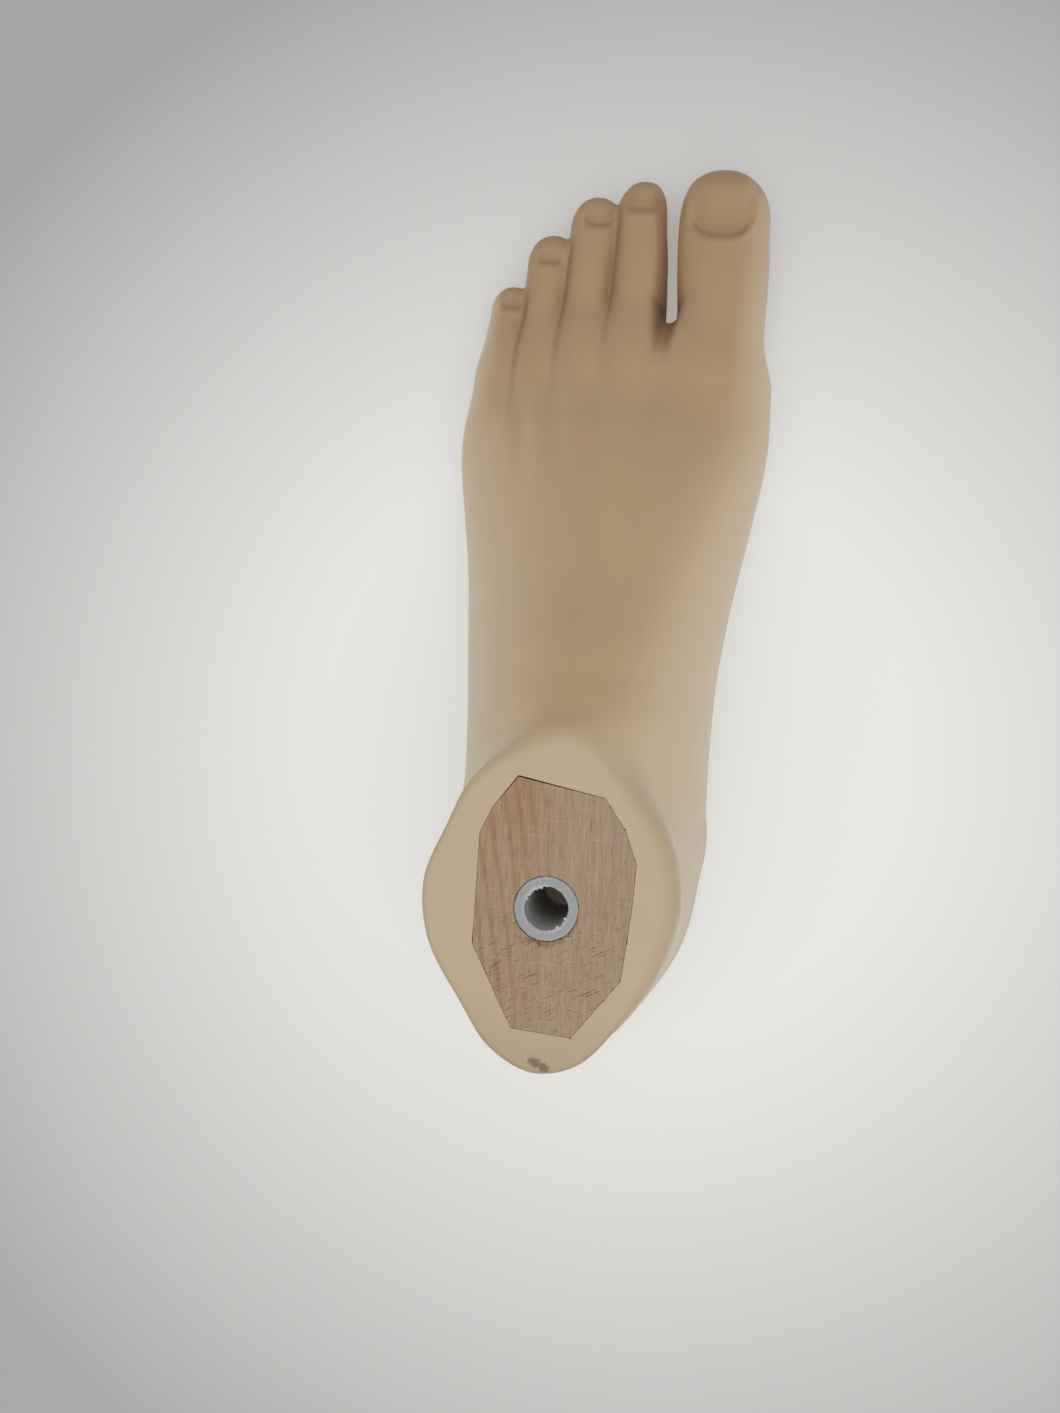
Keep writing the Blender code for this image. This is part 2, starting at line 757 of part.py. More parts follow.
def body_empty(name, y, z, parent=None):
    """An empty on a body's joint axis, which that body's pieces hang from."""
    empty = bpy.data.objects.new(name, None)
    parts.objects.link(empty)
    empty.parent = parent
    empty.location = (0, y, z)
    if parent:
        empty.location -= parent.matrix_world.translation
    bpy.context.view_layer.update()
    return empty


foot_frame = body_empty("foot frame", 0, 0)
toe_frame = body_empty("toe joint", *TOE_AXIS, foot_frame)
heel_frame = body_empty("heel joint", *HEEL_AXIS, foot_frame)
plug_frame = body_empty("plug slide", 0, 0, heel_frame)

keel = keel_blank()
keel_pocket = pocket_for(keel)
sleeve = bolt_sleeve()
washer = bolt_washer()
lower_cushion, upper_cushion = heel_cushions()
lower_belt, upper_belt = belts()
nails = tacks()
plug = sole_plug()

access_hole = round_hole("access hole", ACCESS_DIAMETER, LOW, ACCESS_DEPTH)
sleeve_hole = round_hole(
    "sleeve hole", BORE_DIAMETER + 2 * (SLEEVE_WALL + CLEARANCE),
    ACCESS_DEPTH - HOLE_OVERLAP, ANKLE_HEIGHT + BEYOND,
)
cushion_pockets = [pocket_for(lower_cushion), pocket_for(upper_cushion)]
belt_pockets = [pocket_for(lower_belt), pocket_for(upper_belt)]
bpy.context.view_layer.update()
nail_pockets = [pocket_for(nail) for nail in nails]

drill(keel, [access_hole, sleeve_hole] + nail_pockets)
drill(lower_cushion, [access_hole])
drill(upper_cushion, [access_hole])
drill(lower_belt, nail_pockets[0::2])
drill(upper_belt, nail_pockets[1::2])

foot = moulded_foot()
foot_mesh = foot.data.copy()
bpy.data.objects.remove(foot)
pockets_by_piece = {
    "foam_main": [keel_pocket] + belt_pockets + nail_pockets + cushion_pockets[1:],
    "foam_toe_break": belt_pockets,
    "foam_toes": belt_pockets + [toe_slot()],
    "foam_heel_wall": [keel_pocket, access_hole] + cushion_pockets,
    "foam_heel_tread": [access_hole],
}
foam = {
    name: foam_piece(name, region, foot_mesh, pockets_by_piece[name])
    for name, region in foam_regions().items()
}

finish(keel, wood_look, foot_frame, 20)
finish(sleeve, sleeve_look, foot_frame)
finish(washer, steel_look, foot_frame)
finish(lower_belt, belt_look, toe_frame)
finish(upper_belt, belt_look, toe_frame)
for nail in nails:
    finish(nail, steel_look, foot_frame)
finish(lower_cushion, firm_look, heel_frame)
finish(upper_cushion, soft_look, heel_frame)
finish(plug, plug_look, plug_frame)
finish(foam["foam_main"], foam_look, foot_frame)
finish(foam["foam_toe_break"], foam_look, toe_frame)
finish(foam["foam_toes"], foam_look, toe_frame)
finish(foam["foam_heel_wall"], foam_look, heel_frame)
finish(foam["foam_heel_tread"], foam_look, heel_frame)

# The cutters keep their places by moving with the foot.
for cutter in cutters.objects:
    cutter.parent = foot_frame
foot_frame.location = place
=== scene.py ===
import math
import random

import bmesh
import bpy
import numpy as np
from mathutils import Matrix, Vector


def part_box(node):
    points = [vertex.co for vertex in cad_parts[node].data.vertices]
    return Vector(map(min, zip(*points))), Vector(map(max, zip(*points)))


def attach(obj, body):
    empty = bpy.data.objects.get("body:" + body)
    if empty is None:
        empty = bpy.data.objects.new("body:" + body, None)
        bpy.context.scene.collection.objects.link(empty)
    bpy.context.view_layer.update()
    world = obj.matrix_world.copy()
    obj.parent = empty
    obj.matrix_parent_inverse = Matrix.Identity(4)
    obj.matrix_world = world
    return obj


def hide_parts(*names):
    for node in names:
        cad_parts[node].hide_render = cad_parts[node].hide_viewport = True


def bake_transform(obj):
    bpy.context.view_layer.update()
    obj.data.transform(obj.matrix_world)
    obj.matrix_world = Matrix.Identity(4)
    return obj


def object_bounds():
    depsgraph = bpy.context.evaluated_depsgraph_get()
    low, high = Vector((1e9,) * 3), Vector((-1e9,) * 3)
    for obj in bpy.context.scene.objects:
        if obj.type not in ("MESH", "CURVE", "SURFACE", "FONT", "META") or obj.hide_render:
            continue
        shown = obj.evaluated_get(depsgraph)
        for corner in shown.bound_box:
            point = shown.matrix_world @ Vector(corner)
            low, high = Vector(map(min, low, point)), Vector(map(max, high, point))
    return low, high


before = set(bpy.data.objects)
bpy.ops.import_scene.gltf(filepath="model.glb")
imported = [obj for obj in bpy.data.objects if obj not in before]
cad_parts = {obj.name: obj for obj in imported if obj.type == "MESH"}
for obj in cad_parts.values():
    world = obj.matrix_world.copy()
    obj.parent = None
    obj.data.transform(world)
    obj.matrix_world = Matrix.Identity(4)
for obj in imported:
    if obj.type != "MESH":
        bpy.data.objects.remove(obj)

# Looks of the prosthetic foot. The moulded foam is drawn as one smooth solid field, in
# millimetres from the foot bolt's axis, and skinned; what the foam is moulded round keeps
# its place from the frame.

MM = 0.001
UP = Vector((0, 0, 1))
CAD_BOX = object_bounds()
SLEEVE_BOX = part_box("bolt_sleeve")
PLUG_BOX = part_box("sole_plug")
# The foot bolt's axis. The bolt itself isn't part of the foot.
BOLT = (SLEEVE_BOX[0] + SLEEVE_BOX[1]) / 2
BOLT_ON_FLOOR = np.array((BOLT.x, BOLT.y, 0))
ANKLE_HEIGHT = CAD_BOX[1].z / MM
SLEEVE_RADIUS = (SLEEVE_BOX[1].x - SLEEVE_BOX[0].x) / 2
PLUG_GAP = 0.3
ACCESS_RADIUS = (PLUG_BOX[1].x - PLUG_BOX[0].x) / 2 / MM + PLUG_GAP

# Spacing of the grid that the foam's field is worked out on, in mm.
GRID_STEP = 0.75

# ------------------------ the foam's form, in mm

# y, lateral x, medial x, crest x, sole z, arch rise, widest z, top z
FOOT_SECTIONS = (
    (-12, -29, 31, 1, -1.5, 0, 17, 44),
    (12, -31.4, 36.5, 1, -1.5, 0, 18, 62),
    (42, -32.6, 36.2, 2, 0, 4, 19, 75.5),
    (60, -35, 36.2, 3, 0.5, 7, 19, 66.5),
    (84, -38.2, 38.6, 5, 0, 5, 17, 54),
    (108, -42.8, 42.2, 8, -1.5, 1, 15, 43.5),
    (128, -44.9, 44.4, 10, -2, 0, 14, 35.5),
    (146, -42, 43, 10, -1.5, 0, 13, 28),
)
# Lengths of the round ends behind the first section and in front of the last.
FOOT_CAPS = (18, 20)
# Exponents of the superellipses above and below the widest line: 2 is an ellipse.
UPPER_ROUNDNESS = 2.15
LOWER_ROUNDNESS = 3.2

# (y, centre x, half width, sole z, top z) along each toe, and the length of its round tip
GREAT_TOE = (
    (140, 27.2, 14.3, -1.5, 28), (166, 27, 13.2, -1, 26), (182, 26.1, 13.8, -1, 25),
    (197, 24.7, 14.2, 0, 23.5),
), 15.3
LESSER_TOES = (
    (((140, 2.5, 9, -1.5, 27), (170, 2.6, 8.8, -1, 22), (185, 2.2, 8.5, -1, 20.5),
      (199, 1.3, 8, 0, 18.5)), 10),
    (((136, -12, 7.8, -1.5, 25), (165, -12.7, 7.6, -1, 20.5), (182, -12.6, 7.6, -1, 19),
      (194.5, -12.3, 8, 0, 17)), 9.5),
    (((130, -25, 7.2, -1.5, 23), (155, -25.6, 7.1, -1, 19.5), (172, -25.3, 7, -1, 17.5),
      (183, -24.8, 7.5, 0, 16)), 9),
    (((126, -35.8, 6.6, -1.5, 20), (148, -36.8, 6.8, -1, 17), (160, -36.2, 6.7, -1, 16),
      (168, -35.5, 6.7, 0, 14.5)), 8),
)
TOE_ROUNDNESS = 2.3
# Length of each toe's round end inside the foot.
TOE_ROOT = 20

# The slot between the great and second toes, from its web forwards.
SLOT_LINE = ((169, 12.9), (183, 11.8), (198, 10.8), (218, 11.8))
SLOT_WIDTH = 1.7
# How much the slot widens, and leans to the second toe, per mm of height.
SLOT_FLARE = 0.095
SLOT_LEAN = 0.065

# The pocket behind the slot's web: how far back it runs from its front, its floor and half
# width there, and how much the floor has risen and the half width has shrunk at its rear.
POCKET_FRONT = SLOT_LINE[0][0] + 1
POCKET_LENGTH = 15
POCKET_FLOOR = 13
POCKET_RISE = 13
POCKET_HALF = 2.9
POCKET_NARROWING = 2.3
LEAST_POCKET_HALF = 0.3
# The pocket's floor is round at 1, and deeper under 1.
POCKET_FLOOR_ROUNDNESS = 0.9

# Outlines seen from above, anticlockwise from the medial side.
ANKLE_OUTLINE = (
    (32.1, 1), (29, 18), (20.5, 31), (9.5, 40.6), (1, 42.7), (-11, 39.5), (-20, 32.2),
    (-26.5, 18), (-31, 3), (-29.2, -8.8), (-18.2, -26), (-9.6, -35.8), (1, -39.9),
    (10, -37.5), (19, -28), (28.5, -13),
)
HEEL_OUTLINE = (
    (37.2, 4), (37.3, 20), (28, 34), (14, 42), (1, 44), (-13, 42), (-26, 34),
    (-33, 20), (-33.5, 3), (-33, -14), (-26, -32.5), (-14, -44.5), (1, -49.5),
    (13.5, -45), (25.3, -31), (34.3, -14),
)
# z, share of the way from the heel's outline to the ankle's, size of the outline
HINDFOOT_LEVELS = (
    (-3, 0, 0.78), (1, 0, 0.88), (6, 0, 0.96), (12, 0, 0.995), (18, 0, 1), (32, 0.36, 1),
    (48, 0.74, 1), (63, 0.95, 1), (78, 1, 1), (90, 1, 1),
)

# Nails: middle x, y of the fold at its middle, width, how far the fold curves forward at
# its ends, depth of the step, and how far forward the nail rises back to the skin.
NAILS = (
    (24.6, 188.5, 18, 6, 1.3, 15),
    (1.2, 197, 11.5, 2.4, 0.9, 9),
    (-11.4, 192.6, 9.5, 2.6, 0.9, 8),
    (-24.9, 181, 7.4, 0.8, 0.8, 7),
    (-35.2, 167.4, 6.4, 0.6, 0.7, 6),
)
# The step down into a nail is this long, and the skin swells a little just behind it.
NAIL_SOFTNESS = 3
NAIL_LIP_BACK = 1.6
NAIL_LIP_WIDTH = 1.3
NAIL_LIP_SHARE = 0.22
# Shares of the nail's half width between which its depth fades out at the sides.
NAIL_SIDES = (0.72, 1.12)
# How much painted shade a nail gets next to its fold.
NAIL_SHADE = 0.45

# Valleys that run back from between the toes over the instep: x at the front and the rear.
VALLEYS = ((10.3, 8), (-5.6, -2.5), (-19, -12), (-31.6, -21))
VALLEY_FRONT = 158
VALLEY_REAR = 98
VALLEY_RUN_OUT = 14
VALLEY_DEPTH = 0.8
VALLEY_WIDTH = 2.8
# Nails and valleys are only on the toes' upper side, from this height up.
UPPER_SIDE = (8, 12)

# The mould's parting line round the heel fades out along the foot.
PARTING_HEIGHT = 24
PARTING_RIDGE = 0.3
PARTING_WIDTH = 0.8
PARTING_END = (60, 110)

# How softly surfaces run into each other: the ankle into the foot low down and high up, toe
# into toe, toe into foot, and the edges of the pocket, the slot, the sole and the rim.
ANKLE_JOIN = (3, 8)
ANKLE_JOIN_HEIGHTS = (28, 60)
TOE_TO_TOE = 1.6
TOE_TO_FOOT = 7
POCKET_EDGE = 3.2
SLOT_EDGE = 1.3
SLOT_EDGE_MORE_AT_TIPS = 2.4
SLOT_TIPS = (186, 202)
SOLE_EDGE = 1.2
RIM_EDGE = 1.5
RIM_EDGE_MORE_MEDIAL = 6.5
RIM_EDGE_MORE_FRONT = 2.5
RIM_FRONT = (18, 38)

# The plane between the foam's two pieces.
MIDFOOT_CUT = 70
# Corners of a box that holds all of the foam.
FOAM_BOX = ((-60, -70, -10), (60, 240, 100))

# A face is skin where its corners lie this near the field's surface, in mm, and it faces
# the way the field slopes, as the cosine of the angle between them.
SKIN_TOLERANCE = 0.12
SKIN_AGREEMENT = 0.6

# What is cut out of the foam from above and below, and how far the cutters stand past it.
SOCKET_DEPTH = 30
BOLT_WAY_RADIUS = 8.5
BOLT_WAY_BOTTOM = 30
ACCESS_TOP = 34
CUTTER_PAST = 10
# How finely the core is remeshed, what share of its faces is kept, and its gap to the foam.
CORE_VOXEL = 1.0
CORE_KEPT_SHARE = 0.3
CORE_GAP = 0.3

# Gap between wood and foam on the ankle face, and where it is open: the front's left side.
WOOD_GAP = 0.1
OPEN_WOOD_GAP = 0.42
OPEN_GAP_FROM = (-2, 27)

# The sleeve's wall, how far it fills the gap to the wood, and points round its outline.
SLEEVE_WALL = 2.45
SLEEVE_FILL = 0.2
SLEEVE_STEPS = 144
# Shavings left inside the sleeve's rim, near these angles.
SLIVERS = 30
SLIVER_ANGLES = (-0.9, -0.7, 2.1, 2.5)
# Wood fibres torn up along the sleeve, mostly at its rear, in degrees.
TORN_FIBRES = 60
TORN_FIBRES_AT = -88
TORN_FIBRES_SPREAD = 26

WEAVE_PITCH = 1.5

# Camera and lights, placed in mm from the bolt's axis. The camera's turn is the direction on
# the floor that is up in its picture.
CAMERA_PLACE = (27.8, 43.9, 367.2)
CAMERA_AIM = (-18.9, 49.4, 0)
CAMERA_TURN = math.radians(5.98)
CAMERA_LENS = 30.57
KEY_PLACE = (90, -60, 680)
KEY_AIM = (10, 30, 20)
KEY_SIZE = 0.9
KEY_POWER = 2.75
ROOM_LIGHT = 0.62
FLOOR_HALF = 3.0
FLOOR_GAP = 0.2 * MM
# The painted pool of glow on the floor under the foot: its middle, where it begins and ends to
# fade, and how strong it is inside.
POOL_MIDDLE = (5, 42, 0)
POOL_REACH = (90, 265)
POOL_STRENGTH = 0.40

# The rub mark on the rear of the rim, as two blots side by side.
MARK_PLACE = (2, -37.4)
MARK_TURN = math.radians(-24)
# Each blot's place along the mark, half length and half width.
MARK_BLOTS = ((-1.1, 1.5, 1.05), (1.5, 1.5, 0.9))


def in_frame(x, y, z):
    """A point given in millimetres from the bolt's axis, in the frame."""
    return Vector((BOLT.x + x * MM, BOLT.y + y * MM, z * MM))


def in_foot(places):
    """Places in the frame, in millimetres from the bolt's axis."""
    return (np.array(places) - BOLT_ON_FLOOR) / MM


# ------------------------ field helpers


def eased(places, values, at):
    """Values at the places asked for, on a smooth curve through the listed ones."""
    places = np.asarray(places, float)
    values = np.asarray(values, float)
    slopes = np.gradient(values, places)
    slopes[0] = slopes[-1] = 0
    at = np.clip(at, places[0], places[-1])
    k = np.clip(np.searchsorted(places, at, side="right") - 1, 0, len(places) - 2)
    span = places[k + 1] - places[k]
    t = (at - places[k]) / span
    return (
        values[k] * (1 + 2 * t) * (1 - t) ** 2
        + slopes[k] * span * t * (1 - t) ** 2
        + values[k + 1] * t * t * (3 - 2 * t)
        - slopes[k + 1] * span * t * t * (1 - t)
    )


def step_up(value, low, high):
    """0 below low, 1 above high and a smooth step between."""
    t = np.clip((value - low) / (high - low), 0, 1)
    return t * t * (3 - 2 * t)


def bell(value, middle, width):
    """1 at the middle, falling smoothly to nearly nothing at twice the width."""
    return np.exp(-((value - middle) / width) ** 2)


def smooth_min(a, b, reach):
    """The lesser of two fields, with a rounded change-over reach mm wide."""
    share = np.clip(0.5 + 0.5 * (b - a) / reach, 0, 1)
    return b + (a - b) * share - reach * share * (1 - share)


def smooth_max(a, b, reach):
    return -smooth_min(-a, -b, reach)


def distance(shape):
    """About the distance in mm from the surface where the shape function is 1."""
    slopes = np.gradient(shape, GRID_STEP)
    return (shape - 1) / np.sqrt(sum(slope * slope for slope in slopes) + 1e-9)


def capped(shape, y, first, last, rear, front):
    """Closes a swept shape with a round end of its own length at each end."""
    past = np.maximum((first - y) / rear, 0) + np.maximum((y - last) / front, 0)
    return np.hypot(shape, past)


# ------------------------ the foam's field


def sole_and_instep(x, y, z):
    columns = list(zip(*FOOT_SECTIONS))
    stations = columns[0]
    lateral, medial, crest, sole, arch, widest, top = (
        eased(stations, column, y) for column in columns[1:]
    )
    half = (medial - lateral) / 2
    centre = (medial + lateral) / 2
    rise = np.maximum(z - widest, 0) / (top - widest)
    aside = x - centre - (crest - centre) * np.clip(rise, 0, 1) ** 2
    arch_share = np.clip(0.5 + (x - centre) / half, 0, 1)
    fall = np.maximum(widest - z, 0) / (widest - sole - arch * arch_share)
    u = np.abs(aside / half)
    upper = (u ** UPPER_ROUNDNESS + rise ** UPPER_ROUNDNESS) ** (1 / UPPER_ROUNDNESS)
    lower = (u ** LOWER_ROUNDNESS + fall ** LOWER_ROUNDNESS) ** (1 / LOWER_ROUNDNESS)
    shape = np.where(z >= widest, upper, lower)
    return distance(capped(shape, y, stations[0], stations[-1], *FOOT_CAPS))


def outline_reach(outline, angles):
    """How far an outline lies from the bolt's axis in each direction."""
    turn = 2 * math.pi
    known = sorted((math.atan2(y, x) % turn, math.hypot(x, y)) for x, y in outline)
    before = [(a - turn, r) for a, r in known[-3:]]
    after = [(a + turn, r) for a, r in known[:3]]
    known = before + known + after
    return eased([a for a, _ in known], [r for _, r in known], angles)


def hindfoot(x, y, z):
    directions = np.linspace(0, 2 * math.pi, 721)
    heel_table = outline_reach(HEEL_OUTLINE, directions)
    ankle_table = outline_reach(ANKLE_OUTLINE, directions)
    angle = np.arctan2(y, x + 0 * y) % (2 * math.pi)
    heel = np.interp(angle, directions, heel_table)
    ankle = np.interp(angle, directions, ankle_table)
    levels, shares, sizes = zip(*HINDFOOT_LEVELS)
    share = eased(levels, shares, z)
    size = eased(levels, sizes, z)
    return distance(np.hypot(x, y) / ((heel + (ankle - heel) * share) * size))


def toe(x, y, z, rows, tip):
    columns = list(zip(*rows))
    stations = columns[0]
    centre, half, sole, top = (eased(stations, column, y) for column in columns[1:])
    middle = (sole + top) / 2
    u = np.abs((x - centre) / half)
    w = np.abs((z - middle) / (top - middle))
    shape = (u ** TOE_ROUNDNESS + w ** TOE_ROUNDNESS) ** (1 / TOE_ROUNDNESS)
    return distance(capped(shape, y, stations[0], stations[-1], TOE_ROOT, tip))


def toe_slot(x, y, z):
    """The gap between the great and second toes, with the pocket behind its web."""
    web = SLOT_LINE[0][0]
    middle = eased([p for p, _ in SLOT_LINE], [q for _, q in SLOT_LINE], y)
    aside = x - middle + SLOT_LEAN * z
    half = SLOT_WIDTH / 2 + SLOT_FLARE * np.maximum(z, 0)
    slot = np.hypot(aside, np.minimum(y - web, 0)) - half
    along = np.maximum((POCKET_FRONT - y) / POCKET_LENGTH, 0)
    floor = POCKET_FLOOR + POCKET_RISE * along
    pocket_half = np.maximum(POCKET_HALF - POCKET_NARROWING * along, LEAST_POCKET_HALF)
    below = POCKET_FLOOR_ROUNDNESS * np.minimum(z - floor, 0)
    pocket = np.hypot(aside, below) - pocket_half
    return slot, np.maximum(pocket, y - POCKET_FRONT)


def nails(x, y):
    """How deep the nails lie under the skin behind them, and how much painted shade lies on them
    and their folds.
    """
    depth = 0
    shade = 0
    for middle, fold, width, curve, step, length in NAILS:
        aside = (x - middle) / (width / 2)
        bend = aside * aside * (0.35 + 0.65 * aside * aside)
        ahead = y - (fold + curve * np.clip(bend, 0, 1.8))
        shelf = step_up(ahead, -NAIL_SOFTNESS / 2, NAIL_SOFTNESS / 2)
        nail = shelf * (1 - step_up(ahead, NAIL_SOFTNESS / 2, length))
        sides = 1 - step_up(np.abs(aside), *NAIL_SIDES)
        lip = bell(ahead, -NAIL_LIP_BACK, NAIL_LIP_WIDTH)
        depth = depth + step * sides * (nail - NAIL_LIP_SHARE * lip)
        # Painted shade: darkest along the fold, where the step down into the nail lies in shade,
        # and fainter over the nail.
        fold_line = bell(ahead, 0.3, 1.1 + 0.05 * width)
        shade = np.maximum(shade, sides * np.maximum(fold_line, NAIL_SHADE * nail))
    return depth, shade


def seams(x, y):
    """How much painted shade lies along the lines where neighbouring lesser toes meet, standing in
    for the shade in the groove between them.
    """
    shade = 0
    for (inner, _), (outer, tip) in zip(LESSER_TOES, LESSER_TOES[1:]):
        (y0, x0, w0), (y1, x1, w1) = (list(zip(*rows))[:3] for rows in (inner, outer))
        inner_edge = eased(y0, x0, y) - eased(y0, w0, y)
        outer_edge = eased(y1, x1, y) + eased(y1, w1, y)
        starts = step_up(y, y1[1] - 24, y1[1] + 8)
        ends = 1 - step_up(y, y1[-1], y1[-1] + tip)
        shade = np.maximum(shade, bell(x, (inner_edge + outer_edge) / 2, 0.9) * starts * ends)
    return shade


def valleys(x, y):
    """How deep the valleys between the tendons lie."""
    along = np.clip((VALLEY_FRONT - y) / (VALLEY_FRONT - VALLEY_REAR), 0, 1)
    fade = step_up(y, VALLEY_REAR, VALLEY_FRONT)
    fade = fade * (1 - step_up(y, VALLEY_FRONT, VALLEY_FRONT + VALLEY_RUN_OUT))
    depth = 0
    for front, rear in VALLEYS:
        depth = depth + bell(x, front + (rear - front) * along, VALLEY_WIDTH)
    return VALLEY_DEPTH * depth * fade


def medial_share(x, y):
    """1 along the rim's medial side, where it rolls over, and 0 elsewhere."""
    return step_up(x, 0, 26) * step_up(y, -32, -6)


def lesser_toes(x, y, z):
    """Toes 2 to 5, fused side by side."""
    toes = [toe(x, y, z, rows, tip) for rows, tip in LESSER_TOES]
    field = toes[0]
    for one in toes[1:]:
        field = smooth_min(field, one, TOE_TO_TOE)
    return field


def foam_field(x, y, z):
    """Less than 0 inside the moulded foam, as if it had no keel."""
    low_join, high_join = ANKLE_JOIN
    join = low_join + (high_join - low_join) * step_up(z, *ANKLE_JOIN_HEIGHTS)
    field = smooth_min(sole_and_instep(x, y, z), hindfoot(x, y, z), join)
    field = smooth_min(field, lesser_toes(x, y, z), TOE_TO_FOOT)
    field = smooth_min(field, toe(x, y, z, *GREAT_TOE), TOE_TO_FOOT)
    slot, pocket = toe_slot(x, y, z)
    slot_edge = SLOT_EDGE + SLOT_EDGE_MORE_AT_TIPS * step_up(y, *SLOT_TIPS)
    field = smooth_max(field, -pocket, POCKET_EDGE)
    field = smooth_max(field, -slot, slot_edge)
    field = field + step_up(z, *UPPER_SIDE) * (nails(x, y)[0] + valleys(x, y))
    ridge = bell(z, PARTING_HEIGHT, PARTING_WIDTH) * (1 - step_up(y, *PARTING_END))
    field = field - PARTING_RIDGE * ridge
    field = smooth_max(field, -z, SOLE_EDGE)
    rim_edge = RIM_EDGE + RIM_EDGE_MORE_MEDIAL * medial_share(x, y)
    rim_edge = rim_edge + RIM_EDGE_MORE_FRONT * step_up(y, *RIM_FRONT)
    return smooth_max(field, z - ANKLE_HEIGHT, rim_edge)


class Volume:
    """A field on a regular grid, sampled between its points."""

    def __init__(self, low, high):
        margin = 3 * GRID_STEP
        self.low = low - margin
        counts = np.ceil((high - low + 2 * margin) / GRID_STEP).astype(int) + 1
        axes = [self.low[i] + GRID_STEP * np.arange(counts[i]) for i in range(3)]
        x, y, z = np.meshgrid(*axes, indexing="ij", sparse=True)
        self.field = foam_field(x, y, z).astype(np.float32)
        self.slopes = [s.astype(np.float32) for s in np.gradient(self.field, GRID_STEP)]

    def sample(self, values, points):
        place = (points - self.low) / GRID_STEP
        place = np.clip(place, 0, np.array(values.shape) - 1.001)
        base = place.astype(int)
        part = place - base
        total = 0
        for corner in np.ndindex(2, 2, 2):
            share = np.prod(np.where(corner, part, 1 - part), axis=1)
            i, j, k = (base + corner).T
            total = total + share * values[i, j, k]
        return total

    def depth(self, points):
        return self.sample(self.field, points)

    def slope(self, points):
        return np.stack([self.sample(s, points) for s in self.slopes], axis=1)

    def surface(self):
        """Surface nets: a point in each cell that the surface crosses, and quads between."""
        inside = self.field < 0
        cells = tuple(n - 1 for n in self.field.shape)
        total = np.zeros(cells + (3,))
        count = np.zeros(cells)
        quads = []
        for axis in range(3):
            u, v = (axis + 1) % 3, (axis + 2) % 3
            ahead = np.moveaxis(inside, axis, 0)[1:]
            here = np.moveaxis(inside, axis, 0)[:-1]
            edges = np.argwhere(np.moveaxis(ahead != here, 0, axis))
            unit = np.zeros(3, int)
            unit[axis] = 1
            a = self.field[tuple(edges.T)]
            b = self.field[tuple((edges + unit).T)]
            crossing = edges + unit * (a / (a - b))[:, None]
            around = []
            for du, dv in ((-1, -1), (0, -1), (0, 0), (-1, 0)):
                cell = edges.copy()
                cell[:, u] += du
                cell[:, v] += dv
                np.add.at(total, tuple(cell.T), crossing)
                np.add.at(count, tuple(cell.T), 1)
                around.append(np.ravel_multi_index(tuple(cell.T), cells))
            ring = np.stack(around, axis=1)
            ring[b < 0] = ring[b < 0][:, ::-1]
            quads.append(ring)
        used = np.flatnonzero(count.ravel())
        number = np.full(count.size, -1)
        number[used] = np.arange(len(used))
        points = total.reshape(-1, 3)[used] / count.ravel()[used][:, None]
        points = self.low + points * GRID_STEP
        for _ in range(3):
            slope = self.slope(points)
            steep = (slope * slope).sum(axis=1) + 1e-6
            move = slope * (self.depth(points) / steep)[:, None]
            points -= np.clip(move, -GRID_STEP, GRID_STEP) * 0.8
        return points, number[np.concatenate(quads)]


# ------------------------ mesh helpers


def object_of(name, mesh):
    obj = bpy.data.objects.new(name, mesh)
    bpy.context.scene.collection.objects.link(obj)
    return obj


def mesh_of(name, points, faces):
    mesh = bpy.data.meshes.new(name)
    mesh.from_pydata(points, [], faces)
    mesh.update()
    return mesh


def edited(obj, change):
    """Runs a bmesh edit on an object's mesh."""
    bm = bmesh.new()
    bm.from_mesh(obj.data)
    change(bm)
    bm.to_mesh(obj.data)
    bm.free()
    return obj


def copy_of(node, name):
    """A welded copy of a CAD node's mesh, free to be changed."""
    obj = object_of(name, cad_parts[node].data.copy())
    obj.data.materials.clear()
    return edited(obj, lambda bm: bmesh.ops.remove_doubles(bm, verts=bm.verts, dist=1e-6))


def applied(obj):
    graph = bpy.context.evaluated_depsgraph_get()
    mesh = bpy.data.meshes.new_from_object(obj.evaluated_get(graph))
    obj.modifiers.clear()
    obj.data = mesh
    return obj


def with_modifier(obj, kind, **settings):
    modifier = obj.modifiers.new(kind.lower(), kind)
    for key, value in settings.items():
        setattr(modifier, key, value)
    return applied(obj)


def cut(obj, tool, operation="DIFFERENCE"):
    obj = with_modifier(obj, "BOOLEAN", operation=operation, solver="MANIFOLD", object=tool)
    bpy.data.objects.remove(tool)
    return obj


def extruded(name, outline, low, high):
    """A closed solid over a plan outline, in the frame."""
    count = len(outline)
    points = [(x, y, low) for x, y in outline] + [(x, y, high) for x, y in outline]
    sides = [(i, (i + 1) % count, count + (i + 1) % count, count + i) for i in range(count)]
    caps = [tuple(range(count))[::-1], tuple(range(count, 2 * count))]
    return object_of(name, mesh_of(name, points, sides + caps))


def round_bolt(radius, angle, z):
    """A point of the frame at a radius, an angle and a height round the bolt's axis."""
    return Vector((BOLT.x + radius * math.cos(angle), BOLT.y + radius * math.sin(angle), z))


def round_outline(radius, steps=128):
    places = [round_bolt(radius, 2 * math.pi * i / steps, 0) for i in range(steps)]
    return [(place.x, place.y) for place in places]


def grown(obj, amount):
    def change(bm):
        bm.normal_update()
        moves = [v.normal * amount for v in bm.verts]
        for vertex, move in zip(bm.verts, moves):
            vertex.co += move
    return edited(obj, change)


def widened(outline, gap):
    """An outline moved outwards at each corner, by what gap says for that corner."""
    count = len(outline)
    moved = []
    for i, (x, y) in enumerate(outline):
        before, after = outline[i - 1], outline[(i + 1) % count]
        across = Vector((after[1] - before[1], before[0] - after[0])).normalized()
        amount = gap(x, y)
        moved.append((x + across.x * amount, y + across.y * amount))
    return moved


